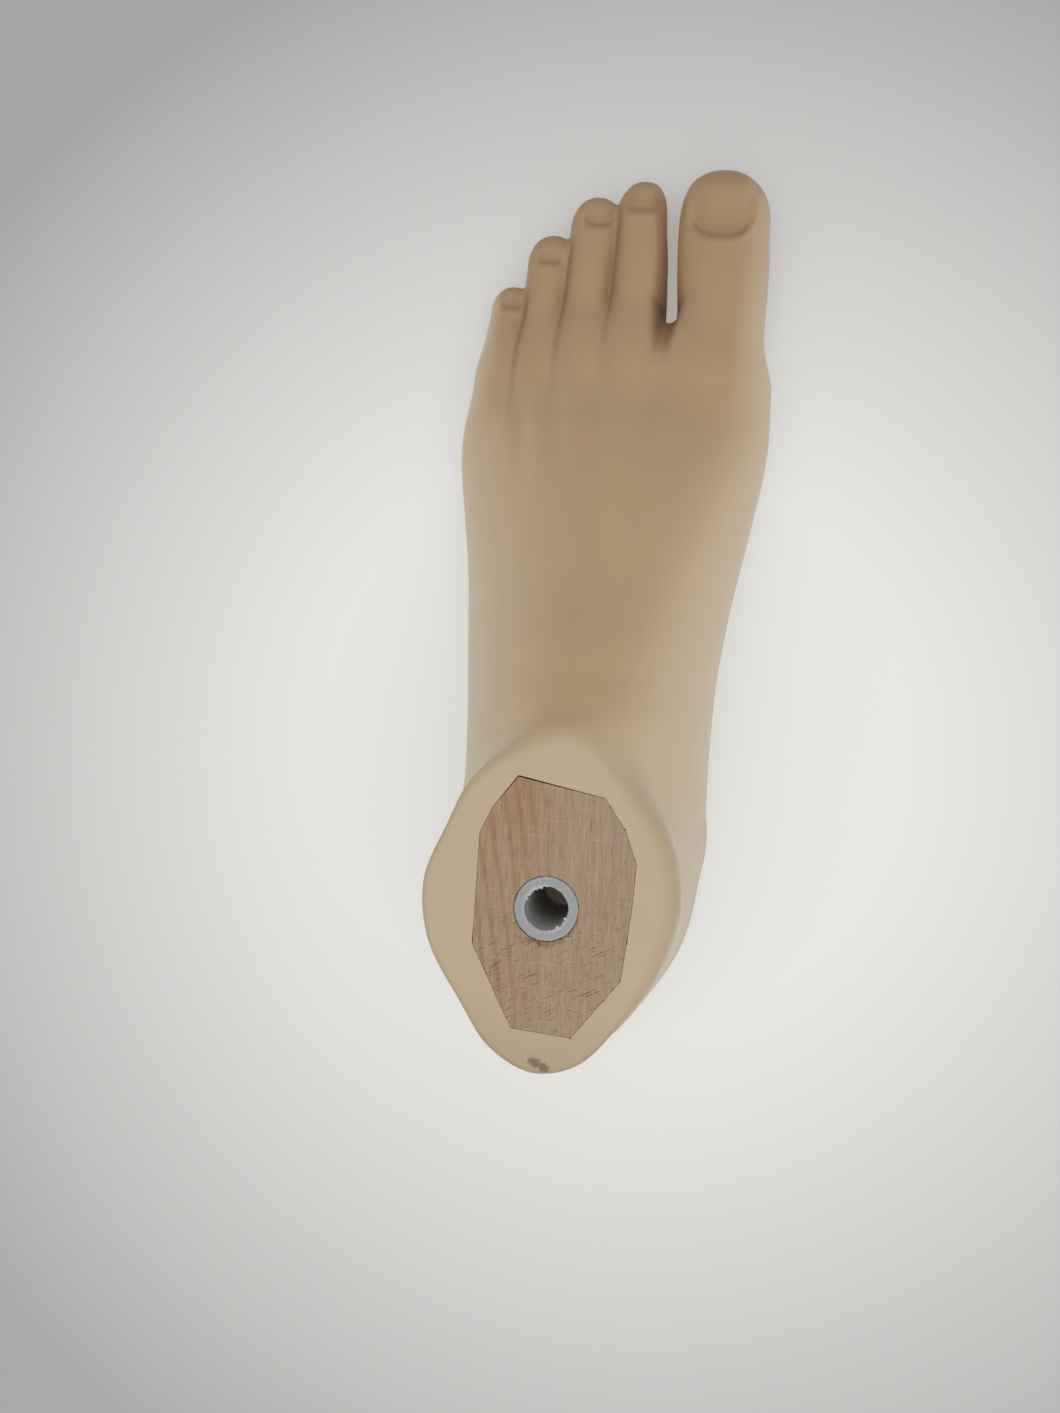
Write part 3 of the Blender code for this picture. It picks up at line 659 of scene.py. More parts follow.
def wood_gap(x, y):
    """The gap between wood and foam, wider where it has opened."""
    right, rear = OPEN_GAP_FROM
    opened = x < BOLT.x + right * MM and y > BOLT.y + rear * MM
    return (OPEN_WOOD_GAP if opened else WOOD_GAP) * MM


def keel_face_outline():
    """The wood's outline on the ankle face, in order."""
    wood = copy_of("keel", "keel copy")
    bm = bmesh.new()
    bm.from_mesh(wood.data)
    top = ANKLE_HEIGHT * MM - 1e-5
    flat = {f for f in bm.faces if all(v.co.z > top for v in f.verts)}
    rim = {e for e in bm.edges if len([f for f in e.link_faces if f in flat]) == 1}
    start = max(rim, key=lambda e: (max(v.co.xy.length for v in e.verts), e.index))
    loop = [start.verts[0]]
    edge = start
    while True:
        following = edge.other_vert(loop[-1])
        if following is loop[0]:
            break
        loop.append(following)
        edge = next(e for e in following.link_edges if e in rim and e is not edge)
    outline = [(v.co.x, v.co.y) for v in loop]
    bm.free()
    bpy.data.objects.remove(wood)
    area = sum(a[0] * b[1] - b[0] * a[1] for a, b in zip(outline, outline[1:] + outline[:1]))
    return outline if area > 0 else outline[::-1]


# ------------------------ foam pieces


def core():
    """Everything the foam is moulded round, closed up into one solid and grown a little."""
    inner = [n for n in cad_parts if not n.startswith("foam") and n != "sole_plug"]
    bm = bmesh.new()
    for node in inner:
        piece = copy_of(node, "core part")
        bm.from_mesh(piece.data)
        bpy.data.objects.remove(piece)
    mesh = bpy.data.meshes.new("core")
    bm.to_mesh(mesh)
    bm.free()
    solid = object_of("core", mesh)
    solid = with_modifier(solid, "REMESH", mode="VOXEL", voxel_size=CORE_VOXEL * MM)
    solid = with_modifier(solid, "DECIMATE", ratio=CORE_KEPT_SHARE)
    return grown(solid, CORE_GAP * MM)


def foam_solid(volume):
    """The whole moulded foam, hollowed for the core, the bolt and the wrench."""
    points, quads = volume.surface()
    points = BOLT_ON_FLOOR + points * MM
    foam = object_of("foam", mesh_of("foam", points.tolist(), quads.tolist()))
    foam = cut(foam, core())
    socket = widened(keel_face_outline(), wood_gap)
    bolt_way = round_outline(BOLT_WAY_RADIUS * MM)
    access = round_outline(ACCESS_RADIUS * MM)
    face = ANKLE_HEIGHT * MM
    past = CUTTER_PAST * MM
    foam = cut(foam, extruded("wood socket", socket, face - SOCKET_DEPTH * MM, face + past))
    foam = cut(foam, extruded("bolt way", bolt_way, BOLT_WAY_BOTTOM * MM, face + past))
    return cut(foam, extruded("wrench way", access, -past, ACCESS_TOP * MM))


def points_in_foot(mesh):
    co = np.zeros(len(mesh.vertices) * 3, np.float32)
    mesh.vertices.foreach_get("co", co)
    return in_foot(co.reshape(-1, 3))


def unit_slope(volume, points):
    slope = volume.slope(points)
    return slope / (np.linalg.norm(slope, axis=1)[:, None] + 1e-9)


def moulded_normals(obj, volume):
    """Shades the moulded surface by the field's own slope and leaves cut faces crisp."""
    mesh = obj.data
    points = points_in_foot(mesh)
    slope = unit_slope(volume, points)
    faces = len(mesh.polygons)
    loops = np.zeros(len(mesh.loops), np.int32)
    starts = np.zeros(faces, np.int32)
    totals = np.zeros(faces, np.int32)
    flats = np.zeros(faces * 3, np.float32)
    mesh.loops.foreach_get("vertex_index", loops)
    mesh.polygons.foreach_get("loop_start", starts)
    mesh.polygons.foreach_get("loop_total", totals)
    mesh.polygons.foreach_get("normal", flats)
    flats = flats.reshape(-1, 3)
    owner = np.repeat(np.arange(faces), totals)
    on_skin = np.abs(volume.depth(points)) < SKIN_TOLERANCE
    skin_corners = np.add.reduceat(on_skin[loops].astype(int), starts) == totals
    agrees = (slope[loops] * flats[owner]).sum(axis=1) > SKIN_AGREEMENT
    by_field = (skin_corners[owner] & agrees)[:, None]
    normals = np.where(by_field, slope[loops], flats[owner])
    mesh.shade_smooth()
    mesh.normals_split_custom_set(normals.tolist())


def painted_crease_shade(x, y, z, slot, pocket):
    """How much painted shade the web, the seams between the toes and the nails' folds get: dark
    brown standing in for the shade that falls in these creases.
    """
    web = (1 - step_up(slot, 0.3, 2.2)) * (1 - 0.85 * step_up(y, 167, 182)) * step_up(y, 158, 168)
    web = np.maximum(web, (1 - step_up(pocket, 0.2, 2.8)) * step_up(y, 150, 165))
    lines = np.maximum(0.46 * nails(x, y)[1], 0.5 * seams(x, y))
    return np.maximum(0.62 * web, step_up(z, 9, 13) * lines)


def painted_flank_sheen(x, y, slope):
    """How much painted sheen the steep skin gets, apart from the toes' inner sides: a pale colour
    standing in for the grazing reflection of the bright floor.
    """
    steep = np.hypot(slope[:, 0], np.minimum(slope[:, 1], 0))
    outer_side = np.maximum(step_up(x, 24, 32), step_up(-x, 34, 40))
    sheen_share = step_up(steep, 0.1, 0.95) * (1 - 0.35 * step_up(y, 140, 200))
    return sheen_share * (1 - step_up(y, 126, 150) * (1 - outer_side))


def mark_tint(x, y, z):
    """The rub mark on the rim."""
    dx = x - MARK_PLACE[0]
    dy = y - MARK_PLACE[1]
    along = dx * math.cos(MARK_TURN) + dy * math.sin(MARK_TURN)
    across = dy * math.cos(MARK_TURN) - dx * math.sin(MARK_TURN)
    blots = [np.hypot((along - at) / a, across / b) for at, a, b in MARK_BLOTS]
    on_face = step_up(z, ANKLE_HEIGHT - 3, ANKLE_HEIGHT - 1)
    return (1 - step_up(np.minimum(*blots), 0.85, 1.25)) * on_face


def stored_tints(obj, volume):
    """Keeps on each point the foam's own tints, browner toes, the paler rim and the mark, and its
    painted light: painted shade in creases, on the toe tips and on the rim's rear, painted sheen
    on steep flanks and painted bounce light on the slot's walls.
    """
    points = points_in_foot(obj.data)
    x, y, z = points.T
    slope = unit_slope(volume, points)
    slot, pocket = toe_slot(x, y, z)
    rim = step_up(z, ANKLE_HEIGHT - 2.5 - 10 * medial_share(x, y), ANKLE_HEIGHT)
    shade_in_creases = painted_crease_shade(x, y, z, slot, pocket)
    # Painted shade on the toe tips, which slope down and forwards, away from the light.
    shaded_toe_tips = step_up(slope[:, 1], 0.1, 0.8) * step_up(y, 158, 176)
    upright = 1 - step_up(slope[:, 2], 0.2, 0.7)
    tints = {
        "toe_tint": step_up(y, 90, 185),
        # Painted sheen: steep flanks are painted paler, standing in for a grazing reflection.
        "painted_flank_sheen": painted_flank_sheen(x, y, slope) * (1 - shade_in_creases),
        "rim_tint": rim,
        # Painted shade: the rear of the rim is painted darker, as less light falls there.
        "painted_rear_shade": rim * step_up(-y, 15, 45),
        # Painted shade in the creases and on the toe tips.
        "painted_crease_shade": np.maximum(shade_in_creases, 0.26 * shaded_toe_tips),
        # Painted bounce light: the slot's walls get a warm brown standing in for light bounced
        # round inside the shaded slot.
        "painted_wall_bounce": (1 - step_up(slot, 0.3, 1.6)) * step_up(y, 166, 176) * upright,
        "mark_tint": mark_tint(x, y, z),
    }
    for name, values in tints.items():
        attribute = obj.data.attributes.new(name, "FLOAT", "POINT")
        attribute.data.foreach_set("value", values.astype(np.float32))


def split_box(front):
    """A box that holds the foam before or behind the midfoot cut."""
    (left, rear, bottom), (right, toes, top) = FOAM_BOX
    near, far = (MIDFOOT_CUT, toes) if front else (rear, MIDFOOT_CUT)
    places = ((left, near), (right, near), (right, far), (left, far))
    outline = [tuple(in_frame(x, y, 0).xy) for x, y in places]
    return extruded("half", outline, bottom * MM, top * MM)


def foam_pieces(look):
    volume = Volume(in_foot(CAD_BOX[0]), in_foot(CAD_BOX[1]))
    solid = foam_solid(volume)
    rear = object_of("foam_rear", solid.data.copy())
    front = solid
    front.name = "foam_front"
    cut(rear, split_box(False), "INTERSECT")
    cut(front, split_box(True), "INTERSECT")
    for piece in (rear, front):
        piece.data.name = piece.name
        moulded_normals(piece, volume)
        stored_tints(piece, volume)
        piece.data.materials.clear()
        piece.data.materials.append(look)
    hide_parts("foam_main", "foam_heel_wall", "foam_heel_tread")
    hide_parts("foam_toe_break", "foam_toes")
    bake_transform(rear)
    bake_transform(front)


# ------------------------ inner soft pieces


def soft_copy(node, look):
    """A rounded copy of a CAD block, for a moulded or cut soft piece."""
    piece = copy_of(node, node + "_soft")
    piece = with_modifier(piece, "REMESH", mode="VOXEL", voxel_size=0.9 * MM)
    piece = with_modifier(piece, "SMOOTH", factor=0.5, iterations=4)
    piece.data.shade_smooth()
    piece.data.materials.append(look)
    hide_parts(node)
    return piece


def cushions(firm, soft):
    for node, look, slot in (
        ("heel_cushion_lower", firm, "firm_cushion"),
        ("heel_cushion_upper", soft, "soft_cushion"),
    ):
        piece = soft_copy(node, look)
        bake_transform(piece)


def belt(node, look):
    """A webbing strap, sliced across at the weave's pitch, with the ribs of its weave across it.
    """
    piece = copy_of(node, node + "_webbing")
    low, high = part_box(node)

    def slices(bm):
        y = low.y + WEAVE_PITCH * MM
        while y < high.y:
            everything = bm.verts[:] + bm.edges[:] + bm.faces[:]
            bmesh.ops.bisect_plane(bm, geom=everything, plane_co=(0, y, 0), plane_no=(0, 1, 0))
            y += WEAVE_PITCH * MM

    edited(piece, slices)
    piece.data.materials.append(look)
    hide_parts(node)
    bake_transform(piece)


# ------------------------ bolt sleeve


def add_spike(points, faces, corners):
    """A closed spike that tapers from three corners at its root to the fourth, its tip."""
    a = len(points)
    b, c, tip = a + 1, a + 2, a + 3
    points += [tuple(corner) for corner in corners]
    faces += [(a, b, tip), (b, c, tip), (c, a, tip), (a, c, b)]


def add_sliver(points, faces, dice, radius, top):
    """A thin tapered shaving that hangs from the bore's sawn rim into the bore."""
    angle = dice.choice(SLIVER_ANGLES) + dice.uniform(-0.5, 0.5)
    turn = angle + dice.uniform(-1.2, 1.2)
    length = dice.uniform(0.4, 1.2) * MM
    width = dice.uniform(0.12, 0.26) * MM
    root = round_bolt(radius + 0.25 * MM, angle, top - 0.3 * MM)
    inwards = Vector((-math.cos(turn), -math.sin(turn), dice.uniform(-0.8, 0.05))).normalized()
    aside = inwards.cross(UP).normalized() * width
    corners = (root - aside, root + aside, root - UP * width, root + inwards * length)
    add_spike(points, faces, [(p.x, p.y, min(p.z, top)) for p in corners])


def sleeve_section(low, top, inner, outer):
    """Radius and height round the wall's section. Then, for each point, how far the saw's
    roughness moves it outwards and upwards, in mm, and how ragged and white it is: the white is
    partly the plastic's whitening where the saw tore it and partly a painted highlight."""
    return (
        (outer, low, 0, 0, 0),
        (outer, top - 1.2 * MM, 0, 0, 0),
        (outer - 0.05 * MM, top - 0.25 * MM, 0.1, 0.05, 0.1),
        (outer - 0.3 * MM, top, 0.32, 0.03, 0.2),
        (outer - 0.9 * MM, top - 0.02 * MM, 0.1, 0.05, 0),
        (inner + 0.9 * MM, top - 0.04 * MM, 0.06, 0.05, 0),
        (inner + 0.35 * MM, top - 0.02 * MM, 0.1, 0.1, 0.5),
        (inner + 0.08 * MM, top - 0.3 * MM, 0.2, 0.12, 1),
        (inner, top - 0.9 * MM, 0.08, 0.1, 0.3),
        (inner, top - 3 * MM, 0, 0, 0),
        (inner, low, 0, 0, 0),
    )


def sleeve(look):
    """The grey sleeve with a rough sawn rim, slivers inside it and a soft chamfer."""
    dice = random.Random(5)
    top = SLEEVE_BOX[1].z
    inner = SLEEVE_RADIUS - SLEEVE_WALL * MM
    outer = SLEEVE_RADIUS + SLEEVE_FILL * MM
    section = sleeve_section(SLEEVE_BOX[0].z, top, inner, outer)
    count = len(section)
    rough = [dice.uniform(-1, 1) for _ in range(SLEEVE_STEPS)]
    points = []
    faces = []
    tear_white_and_highlight = []
    for i in range(SLEEVE_STEPS):
        angle = 2 * math.pi * i / SLEEVE_STEPS
        wave = sum(rough[(i + k) % SLEEVE_STEPS] for k in range(-2, 3)) / 5
        jag = rough[(i * 7) % SLEEVE_STEPS]
        # Painted highlight: the ragged rim is painted whitest on two opposite sides of the ring.
        paler = 0.35 + 0.6 * max(math.cos(2 * angle - 4.4), 0)
        here, there = i * count, ((i + 1) % SLEEVE_STEPS) * count
        for k, (radius, z, outwards, upwards, tear) in enumerate(section):
            height = min(z + upwards * jag * MM, top)
            points.append(tuple(round_bolt(radius + outwards * wave * MM, angle, height)))
            tear_white_and_highlight.append(paler * tear)
            after = (k + 1) % count
            faces.append((here + k, there + k, there + after, here + after))
    for _ in range(SLIVERS):
        add_sliver(points, faces, dice, inner, top)
    tear_white_and_highlight += [1] * (len(points) - len(tear_white_and_highlight))
    piece = object_of("bolt_sleeve_cut", mesh_of("bolt_sleeve_cut", points, faces))
    piece.data.attributes.new("torn_edge_and_highlight", "FLOAT", "POINT").data.foreach_set("value", tear_white_and_highlight)
    piece.data.shade_smooth()
    piece.data.set_sharp_from_angle(angle=math.radians(50))
    piece.data.materials.append(look)
    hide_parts("bolt_sleeve")
    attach(piece, "root")


def torn_fibres(look):
    """Wood fibres that the saw tore up along the rear of the sleeve."""
    dice = random.Random(11)
    lift = UP * 0.12 * MM
    points = []
    faces = []
    for _ in range(TORN_FIBRES):
        angle = math.radians(dice.gauss(TORN_FIBRES_AT, TORN_FIBRES_SPREAD))
        turn = angle + dice.choice((-1, 1)) * dice.uniform(0.5, 1.5)
        root = round_bolt(SLEEVE_RADIUS + 0.35 * MM, angle, SLEEVE_BOX[1].z)
        along = Vector((math.cos(turn), math.sin(turn), dice.uniform(0.02, 0.2))).normalized()
        aside = along.cross(UP).normalized() * dice.uniform(0.07, 0.14) * MM
        root += along * dice.uniform(0, 0.4) * MM
        tip = root + along * dice.uniform(0.8, 2.3) * MM
        add_spike(points, faces, (root - aside, root + aside, root + lift, tip + lift * 0.6))
    piece = object_of("torn_fibres", mesh_of("torn_fibres", points, faces))
    edited(piece, lambda bm: bmesh.ops.recalc_face_normals(bm, faces=bm.faces))
    piece.data.materials.append(look)
    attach(piece, "root")


# ------------------------ materials


class Look:
    """A Principled material in the making, patterned in the object's own coordinates."""

    def __init__(self, name, **shader_values):
        self.material = bpy.data.materials.new(name)
        self.material.use_nodes = True
        self.tree = self.material.node_tree
        self.shader = self.tree.nodes["Principled BSDF"]
        for key, value in shader_values.items():
            self.shader.inputs[key.replace("_", " ")].default_value = value
        self.place = self.node("ShaderNodeTexCoord").outputs["Object"]

    def node(self, kind, inputs=(), **settings):
        made = self.tree.nodes.new(kind)
        for key, value in settings.items():
            setattr(made, key, value)
        for key, value in dict(inputs).items():
            if isinstance(value, bpy.types.NodeSocket):
                self.tree.links.new(value, made.inputs[key])
            else:
                made.inputs[key].default_value = value
        return made

    def stretched(self, x, y, z, turn=0.0):
        """The object's coordinates, scaled by a number of cycles a metre each way."""
        mapping = self.node("ShaderNodeMapping", {
            "Vector": self.place, "Scale": (1 / x, 1 / y, 1 / z),
            "Rotation": (0, 0, math.radians(turn)),
        }, vector_type="TEXTURE")
        return mapping.outputs["Vector"]

    def even(self, cycles):
        return self.stretched(cycles, cycles, cycles)

    def along(self, axis):
        """The object's own coordinate on one axis, in metres."""
        return self.node("ShaderNodeSeparateXYZ", {0: self.place}).outputs[axis]

    def noise(self, place, detail=3.0, roughness=0.5, distortion=0.0):
        made = self.node("ShaderNodeTexNoise", {
            "Vector": place, "Scale": 1.0, "Detail": detail, "Roughness": roughness,
            "Distortion": distortion,
        })
        return made.outputs["Fac"]

    def ramp(self, value, low, high, start=0.0, end=1.0):
        made = self.node("ShaderNodeMapRange", {
            "Value": value, "From Min": low, "From Max": high, "To Min": start, "To Max": end,
        })
        return made.outputs["Result"]

    def maths(self, operation, a, b):
        return self.node("ShaderNodeMath", {0: a, 1: b}, operation=operation).outputs[0]

    def blend(self, share, a, b, kind="MIX"):
        """Colour a where share is 0 and b where it is 1."""
        made = self.node("ShaderNodeMix", data_type="RGBA", blend_type=kind)
        for socket, value in (("Factor_Float", share), ("A_Color", a), ("B_Color", b)):
            target = next(s for s in made.inputs if s.identifier == socket)
            if isinstance(value, bpy.types.NodeSocket):
                self.tree.links.new(value, target)
            else:
                target.default_value = value
        return next(s for s in made.outputs if s.identifier == "Result_Color")

    def stored(self, name):
        return self.node("ShaderNodeAttribute", attribute_name=name).outputs["Fac"]

    def set(self, name, socket):
        self.tree.links.new(socket, self.shader.inputs[name])

    def bump(self, height, depth, under=None):
        """Raises the surface by height times depth, over what is under it."""
        inputs = {"Height": height, "Distance": depth, "Strength": 1.0}
        if under is not None:
            inputs["Normal"] = under
        return self.node("ShaderNodeBump", inputs).outputs["Normal"]


def rgb(red, green, blue):
    return (red, green, blue, 1)


def foam_look():
    """Satin skin of moulded foam, tinted by what stored_tints keeps on it: its own tints, and
    painted shade, painted sheen and painted bounce light.
    """
    look = Look("foam skin", Roughness=0.4, Sheen_Weight=0.12, Sheen_Roughness=0.4)
    mottle = look.ramp(look.noise(look.stretched(38, 30, 38), 3, 0.55), 0.35, 0.65)
    base = look.blend(mottle, rgb(0.42, 0.300, 0.162), rgb(0.395, 0.286, 0.158))
    pinker = look.ramp(look.noise(look.stretched(60, 22, 60), 2, 0.5), 0.45, 0.75, 0, 0.5)
    base = look.blend(pinker, base, rgb(0.43, 0.282, 0.162))
    for name, share, colour in (
        ("toe_tint", 0.85, rgb(0.375, 0.235, 0.120)),
        # Painted sheen: pale on the steep flanks.
        ("painted_flank_sheen", 0.95, rgb(0.605, 0.482, 0.325)),
        ("rim_tint", 0.8, rgb(0.445, 0.352, 0.225)),
        # Painted shade: darker on the rear of the rim.
        ("painted_rear_shade", 0.85, rgb(0.35, 0.272, 0.175)),
        # Painted bounce light: warm brown on the shaded walls of the slot.
        ("painted_wall_bounce", 0.85, rgb(0.52, 0.27, 0.11)),
        # Painted shade: dark brown in the creases, where shade falls.
        ("painted_crease_shade", 1.0, rgb(0.19, 0.095, 0.036)),
    ):
        base = look.blend(look.maths("MULTIPLY", look.stored(name), share), base, colour)
    ragged = look.ramp(look.noise(look.even(900), 3, 0.6), 0.25, 0.5, 0.75, 1)
    mark = look.maths("MULTIPLY", look.stored("mark_tint"), ragged)
    look.set("Base Color", look.blend(mark, base, rgb(0.15, 0.098, 0.058)))
    fine = look.noise(look.even(1600), 3, 0.6)
    waves = look.noise(look.stretched(160, 120, 160), 2, 0.5)
    # The painted shade in creases and the painted bounce light on the slot's walls also make the
    # skin rougher there.
    rougher = look.maths("ADD", look.stored("painted_crease_shade"), look.stored("painted_wall_bounce"))
    look.set("Roughness", look.maths("ADD", look.ramp(waves, 0.3, 0.7, 0.36, 0.46), rougher))
    look.set("Normal", look.bump(fine, 0.012 * MM, look.bump(waves, 0.12 * MM)))
    return look.material


def wood_look():
    """Sawn end of a hardwood block: fore-and-aft grain, growth rings, saw lines and checks."""
    look = Look("sawn hardwood", Roughness=0.72, Specular_IOR_Level=0.3)
    grain = look.noise(look.stretched(900, 45, 300, 4), 5, 0.6, 0.15)
    fibres = look.noise(look.stretched(4200, 220, 1200, 4), 4, 0.7)
    patches = look.noise(look.stretched(60, 28, 60, 6), 3, 0.5, 0.8)
    rings = look.node("ShaderNodeTexWave", {
        "Vector": look.stretched(95, 22, 60, 13), "Scale": 1.0, "Distortion": 3.0, "Detail": 4.0,
    }).outputs["Fac"]
    saw_lines = look.noise(look.stretched(70, 1700, 200, 1), 3, 0.6)
    checks = look.noise(look.stretched(230, 2600, 500, 30), 3, 0.5, 0.6)
    splits = look.noise(look.stretched(1500, 170, 500, 7), 2, 0.5)
    across = look.along("X")
    forwards = look.along("Y")
    left = look.ramp(across, BOLT.x + 2 * MM, BOLT.x - 8 * MM)
    right = look.ramp(across, BOLT.x - 6 * MM, BOLT.x + 14 * MM)
    front = look.ramp(forwards, BOLT.y, BOLT.y + 20 * MM)
    rear = look.ramp(forwards, BOLT.y + 8 * MM, BOLT.y - 8 * MM)
    front_left = look.maths("MULTIPLY", front, left)
    ringed = look.maths("MULTIPLY", look.ramp(rings, 0.5, 1.0, 0, 0.5), left)
    checked = look.maths("MULTIPLY", look.ramp(checks, 0.64, 0.68, 0, 0.5), rear)
    patchy = look.ramp(patches, 0.4, 0.62)
    base = look.blend(patchy, rgb(0.345, 0.217, 0.128), rgb(0.335, 0.242, 0.152))
    for share, colour in (
        (look.maths("MULTIPLY", right, 0.6), rgb(0.318, 0.242, 0.168)),
        (look.maths("MULTIPLY", front_left, 0.6), rgb(0.365, 0.205, 0.112)),
        (look.ramp(grain, 0.4, 0.62, 0, 0.6), rgb(0.395, 0.292, 0.195)),
        (ringed, rgb(0.25, 0.140, 0.075)),
        (look.ramp(fibres, 0.5, 0.66, 0, 0.7), rgb(0.20, 0.128, 0.08)),
        (look.ramp(saw_lines, 0.6, 0.7, 0, 0.35), rgb(0.46, 0.37, 0.27)),
        (checked, rgb(0.09, 0.06, 0.04)),
        (look.ramp(splits, 0.68, 0.72, 0, 0.45), rgb(0.12, 0.075, 0.05)),
    ):
        base = look.blend(share, base, colour)
    look.set("Base Color", base)
    rough = look.bump(fibres, 0.12 * MM)
    cracked = look.bump(look.maths("MULTIPLY", checked, -1), 0.2 * MM, rough)
    look.set("Normal", look.bump(grain, 0.2 * MM, cracked))
    return look.material


def fibre_look():
    look = Look("torn fibres", Roughness=0.8, Specular_IOR_Level=0.2)
    cloud = look.noise(look.even(700), 2, 0.5)
    darker = look.ramp(cloud, 0.4, 0.6)
    look.set("Base Color", look.blend(darker, rgb(0.47, 0.25, 0.09), rgb(0.22, 0.115, 0.045)))
    look.set("Normal", look.bump(cloud, 0.05 * MM))
    return look.material


def plastic_look():
    """Grey plastic, paler deep in the bore, and white along the sawn rim's ragged edge: partly the
    plastic's whitening where the saw tore it, partly a painted highlight brightest on two opposite
    sides.
    """
    look = Look("sleeve plastic", Roughness=0.42, Specular_IOR_Level=0.5)
    cloud = look.noise(look.stretched(220, 220, 160), 3, 0.6)
    base = look.blend(cloud, rgb(0.235, 0.243, 0.25), rgb(0.30, 0.305, 0.305))
    top = SLEEVE_BOX[1].z
    deep = look.ramp(look.along("Z"), top - 1 * MM, top - 4 * MM)
    base = look.blend(deep, base, rgb(0.55, 0.535, 0.52))
    look.set("Base Color", look.blend(look.stored("torn_edge_and_highlight"), base, rgb(0.62, 0.61, 0.58)))
    scratches = look.noise(look.stretched(2500, 700, 300, 30), 3, 0.6)
    look.set("Roughness", look.ramp(scratches, 0.3, 0.7, 0.34, 0.55))
    look.set("Normal", look.bump(scratches, 0.05 * MM))
    return look.material


def steel_look():
    look = Look("zinc steel", Roughness=0.34, Metallic=1.0)
    tarnish = look.noise(look.even(500), 4, 0.6)
    scratches = look.noise(look.stretched(2600, 2600, 400), 2, 0.5)
    look.set("Base Color", look.blend(tarnish, rgb(0.50, 0.50, 0.49), rgb(0.68, 0.68, 0.66)))
    look.set("Roughness", look.ramp(tarnish, 0.3, 0.7, 0.26, 0.46))
    look.set("Normal", look.bump(scratches, 0.02 * MM))
    return look.material


def cellular_look(name, dark, light, cells, depth):
    """Foam rubber with open pores, given as cells a metre and their depth in mm. The pores are
    painted darker, as painted shade in them.
    """
    look = Look(name, Roughness=0.86, Specular_IOR_Level=0.2)
    place = look.even(cells)
    pores = look.node("ShaderNodeTexVoronoi", {"Vector": place, "Scale": 1.0})
    pore_height_and_shade = look.ramp(pores.outputs["Distance"], 0.15, 0.6)
    look.set("Base Color", look.blend(pore_height_and_shade, dark, light))
    look.set("Normal", look.bump(pore_height_and_shade, depth * MM))
    return look.material


def webbing_look():
    look = Look("woven belt", Roughness=0.85, Specular_IOR_Level=0.2, Sheen_Weight=0.25)
    warp, weft = (
        look.node("ShaderNodeTexWave", {"Vector": place, "Scale": 1.0}, bands_direction=axis)
        for place, axis in ((look.stretched(330, 1, 1), "X"), (look.stretched(1, 250, 1), "Y"))
    )
    weave = look.maths("MULTIPLY", warp.outputs["Fac"], weft.outputs["Fac"])
    # The weave is painted darker in its low gaps, as painted shade between the threads.
    look.set("Base Color", look.blend(weave, rgb(0.42, 0.40, 0.33), rgb(0.68, 0.66, 0.58)))
    look.set("Normal", look.bump(weave, 0.3 * MM))
    return look.material


def plug_look():
    """Foam rubber with a faint warm glow painted in as emission, standing in for the light that
    the foam lets through.
    """
    look = Look("plug foam", Roughness=0.66, Specular_IOR_Level=0.3, Emission_Strength=0.045)
    look.shader.inputs["Emission Color"].default_value = rgb(0.9, 0.72, 0.6)
    cloud = look.noise(look.even(90), 4, 0.6)
    skin = look.noise(look.even(900), 3, 0.6)
    look.set("Base Color", look.blend(cloud, rgb(0.30, 0.205, 0.125), rgb(0.37, 0.26, 0.165)))
    look.set("Normal", look.bump(skin, 0.08 * MM))
    return look.material


def floor_look():
    """White paper with a soft pool of glow painted in round the foot: emission in its own
    material, as if the paper were lit from below.
    """
    look = Look("pale table", Roughness=0.6, Specular_IOR_Level=0.2)
    cloud = look.noise(look.even(4), 2, 0.5)
    look.set("Base Color", look.blend(cloud, rgb(0.405, 0.405, 0.395), rgb(0.43, 0.43, 0.42)))
    away = look.node(
        "ShaderNodeVectorMath", {0: look.place, 1: in_frame(*POOL_MIDDLE)}, operation="DISTANCE",
    ).outputs["Value"]
    look.shader.inputs["Emission Color"].default_value = rgb(1, 0.995, 0.975)
    near, far = (reach * MM for reach in POOL_REACH)
    look.set("Emission Strength", look.ramp(away, near, far, POOL_STRENGTH, 0.0))
    return look.material


# ------------------------ stage


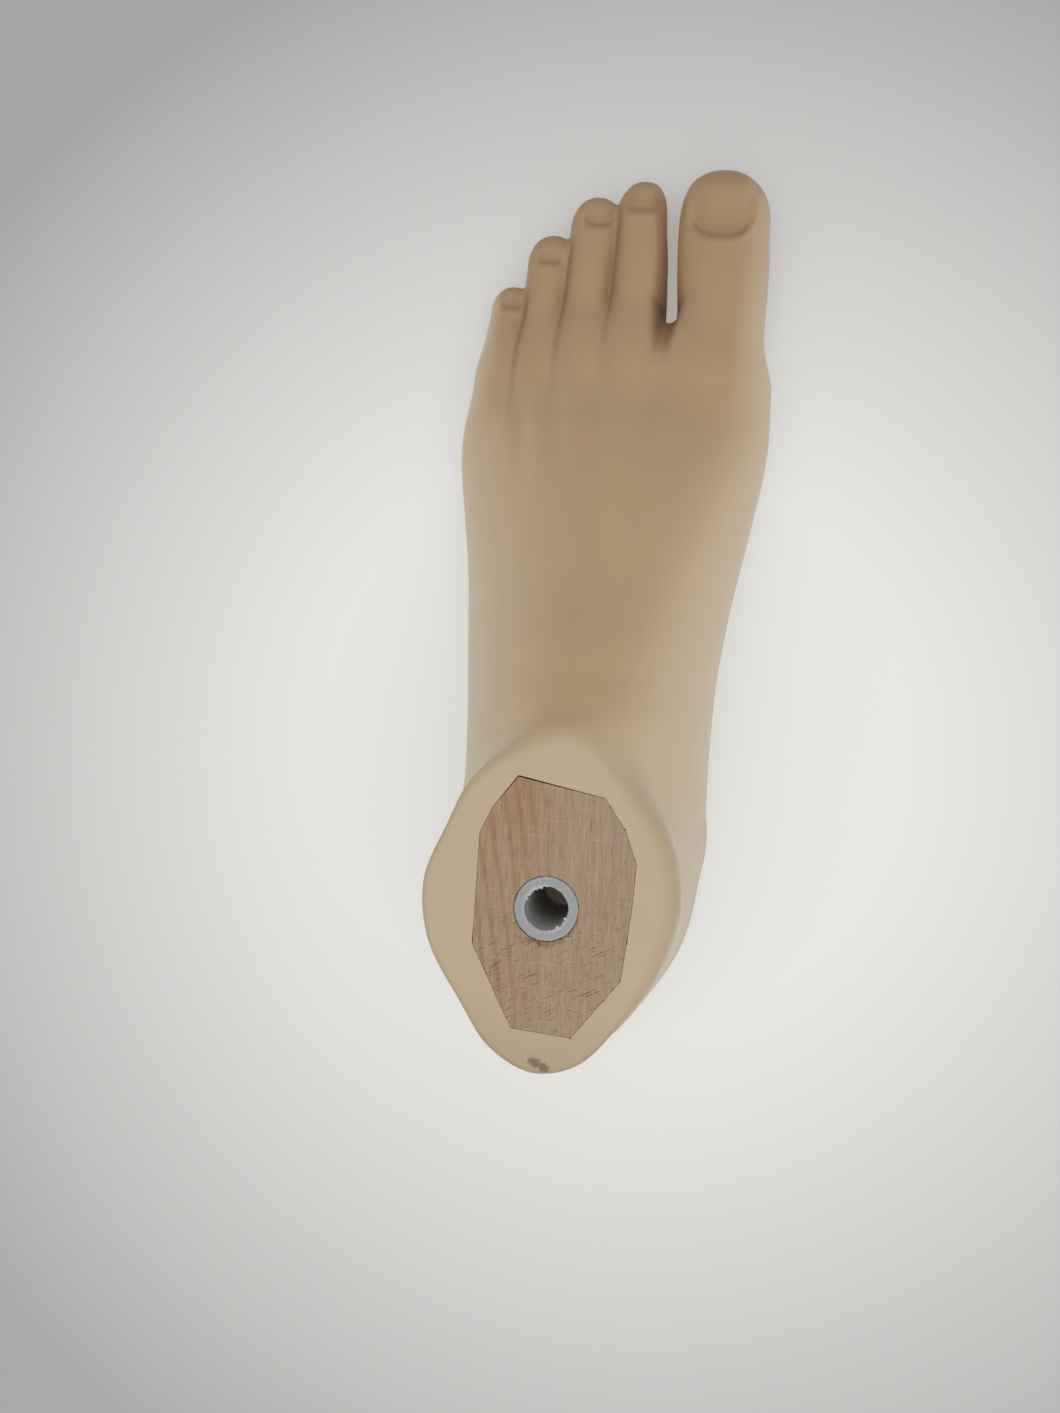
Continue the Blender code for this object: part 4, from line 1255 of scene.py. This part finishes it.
def add_camera():
    """Looks nearly straight down on the foot, from in front of and inside the ankle."""
    place = in_frame(*CAMERA_PLACE)
    forward = (in_frame(*CAMERA_AIM) - place).normalized()
    up_in_view = Vector((-math.sin(CAMERA_TURN), math.cos(CAMERA_TURN), 0))
    right = forward.cross(up_in_view).normalized()
    data = bpy.data.cameras.new("camera")
    data.lens = CAMERA_LENS
    data.clip_start = 10 * MM
    camera = object_of("camera", data)
    turn = Matrix((right, right.cross(forward), -forward)).transposed()
    camera.matrix_world = Matrix.Translation(place) @ turn.to_4x4()
    bpy.context.scene.camera = camera


def add_key_light():
    data = bpy.data.lights.new("soft key", "AREA")
    data.size = KEY_SIZE
    data.energy = KEY_POWER
    data.color = (1, 0.99, 0.97)
    light = object_of("soft key", data)
    light.location = in_frame(*KEY_PLACE)
    light.rotation_mode = "QUATERNION"
    aim = in_frame(*KEY_AIM) - in_frame(*KEY_PLACE)
    light.rotation_quaternion = aim.to_track_quat("-Z", "Y")


def add_stage():
    corners = ((-1, -1), (1, -1), (1, 1), (-1, 1))
    points = [(x * FLOOR_HALF, y * FLOOR_HALF, 0) for x, y in corners]
    floor = object_of("floor", mesh_of("floor", points, [(0, 1, 2, 3)]))
    floor.location.z = -FLOOR_GAP
    floor.data.materials.append(floor_look())
    world = bpy.data.worlds.new("soft room")
    world.use_nodes = True
    background = world.node_tree.nodes["Background"]
    background.inputs["Color"].default_value = rgb(0.985, 0.99, 1)
    background.inputs["Strength"].default_value = ROOM_LIGHT
    bpy.context.scene.world = world
    add_key_light()
    bpy.context.scene.view_settings.view_transform = "Standard"


# ------------------------ assembly

add_camera()
add_stage()
foam_pieces(foam_look())
sleeve(plastic_look())
torn_fibres(fibre_look())
cushions(
    cellular_look("firm cushion", rgb(0.035, 0.035, 0.037), rgb(0.075, 0.075, 0.08), 900, 0.15),
    cellular_look("soft cushion", rgb(0.20, 0.16, 0.11), rgb(0.40, 0.33, 0.24), 700, 0.3),
)
webbing = webbing_look()
belt("lower_belt", webbing)
belt("upper_belt", webbing)

# The nodes that show as they are: the wood, the plug, and the washer and tacks of steel.
cad_looks = {"keel": wood_look(), "sole_plug": plug_look()}
steel = steel_look()
for node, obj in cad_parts.items():
    if not obj.hide_render:
        obj.data.materials.clear()
        obj.data.materials.append(cad_looks.get(node, steel))
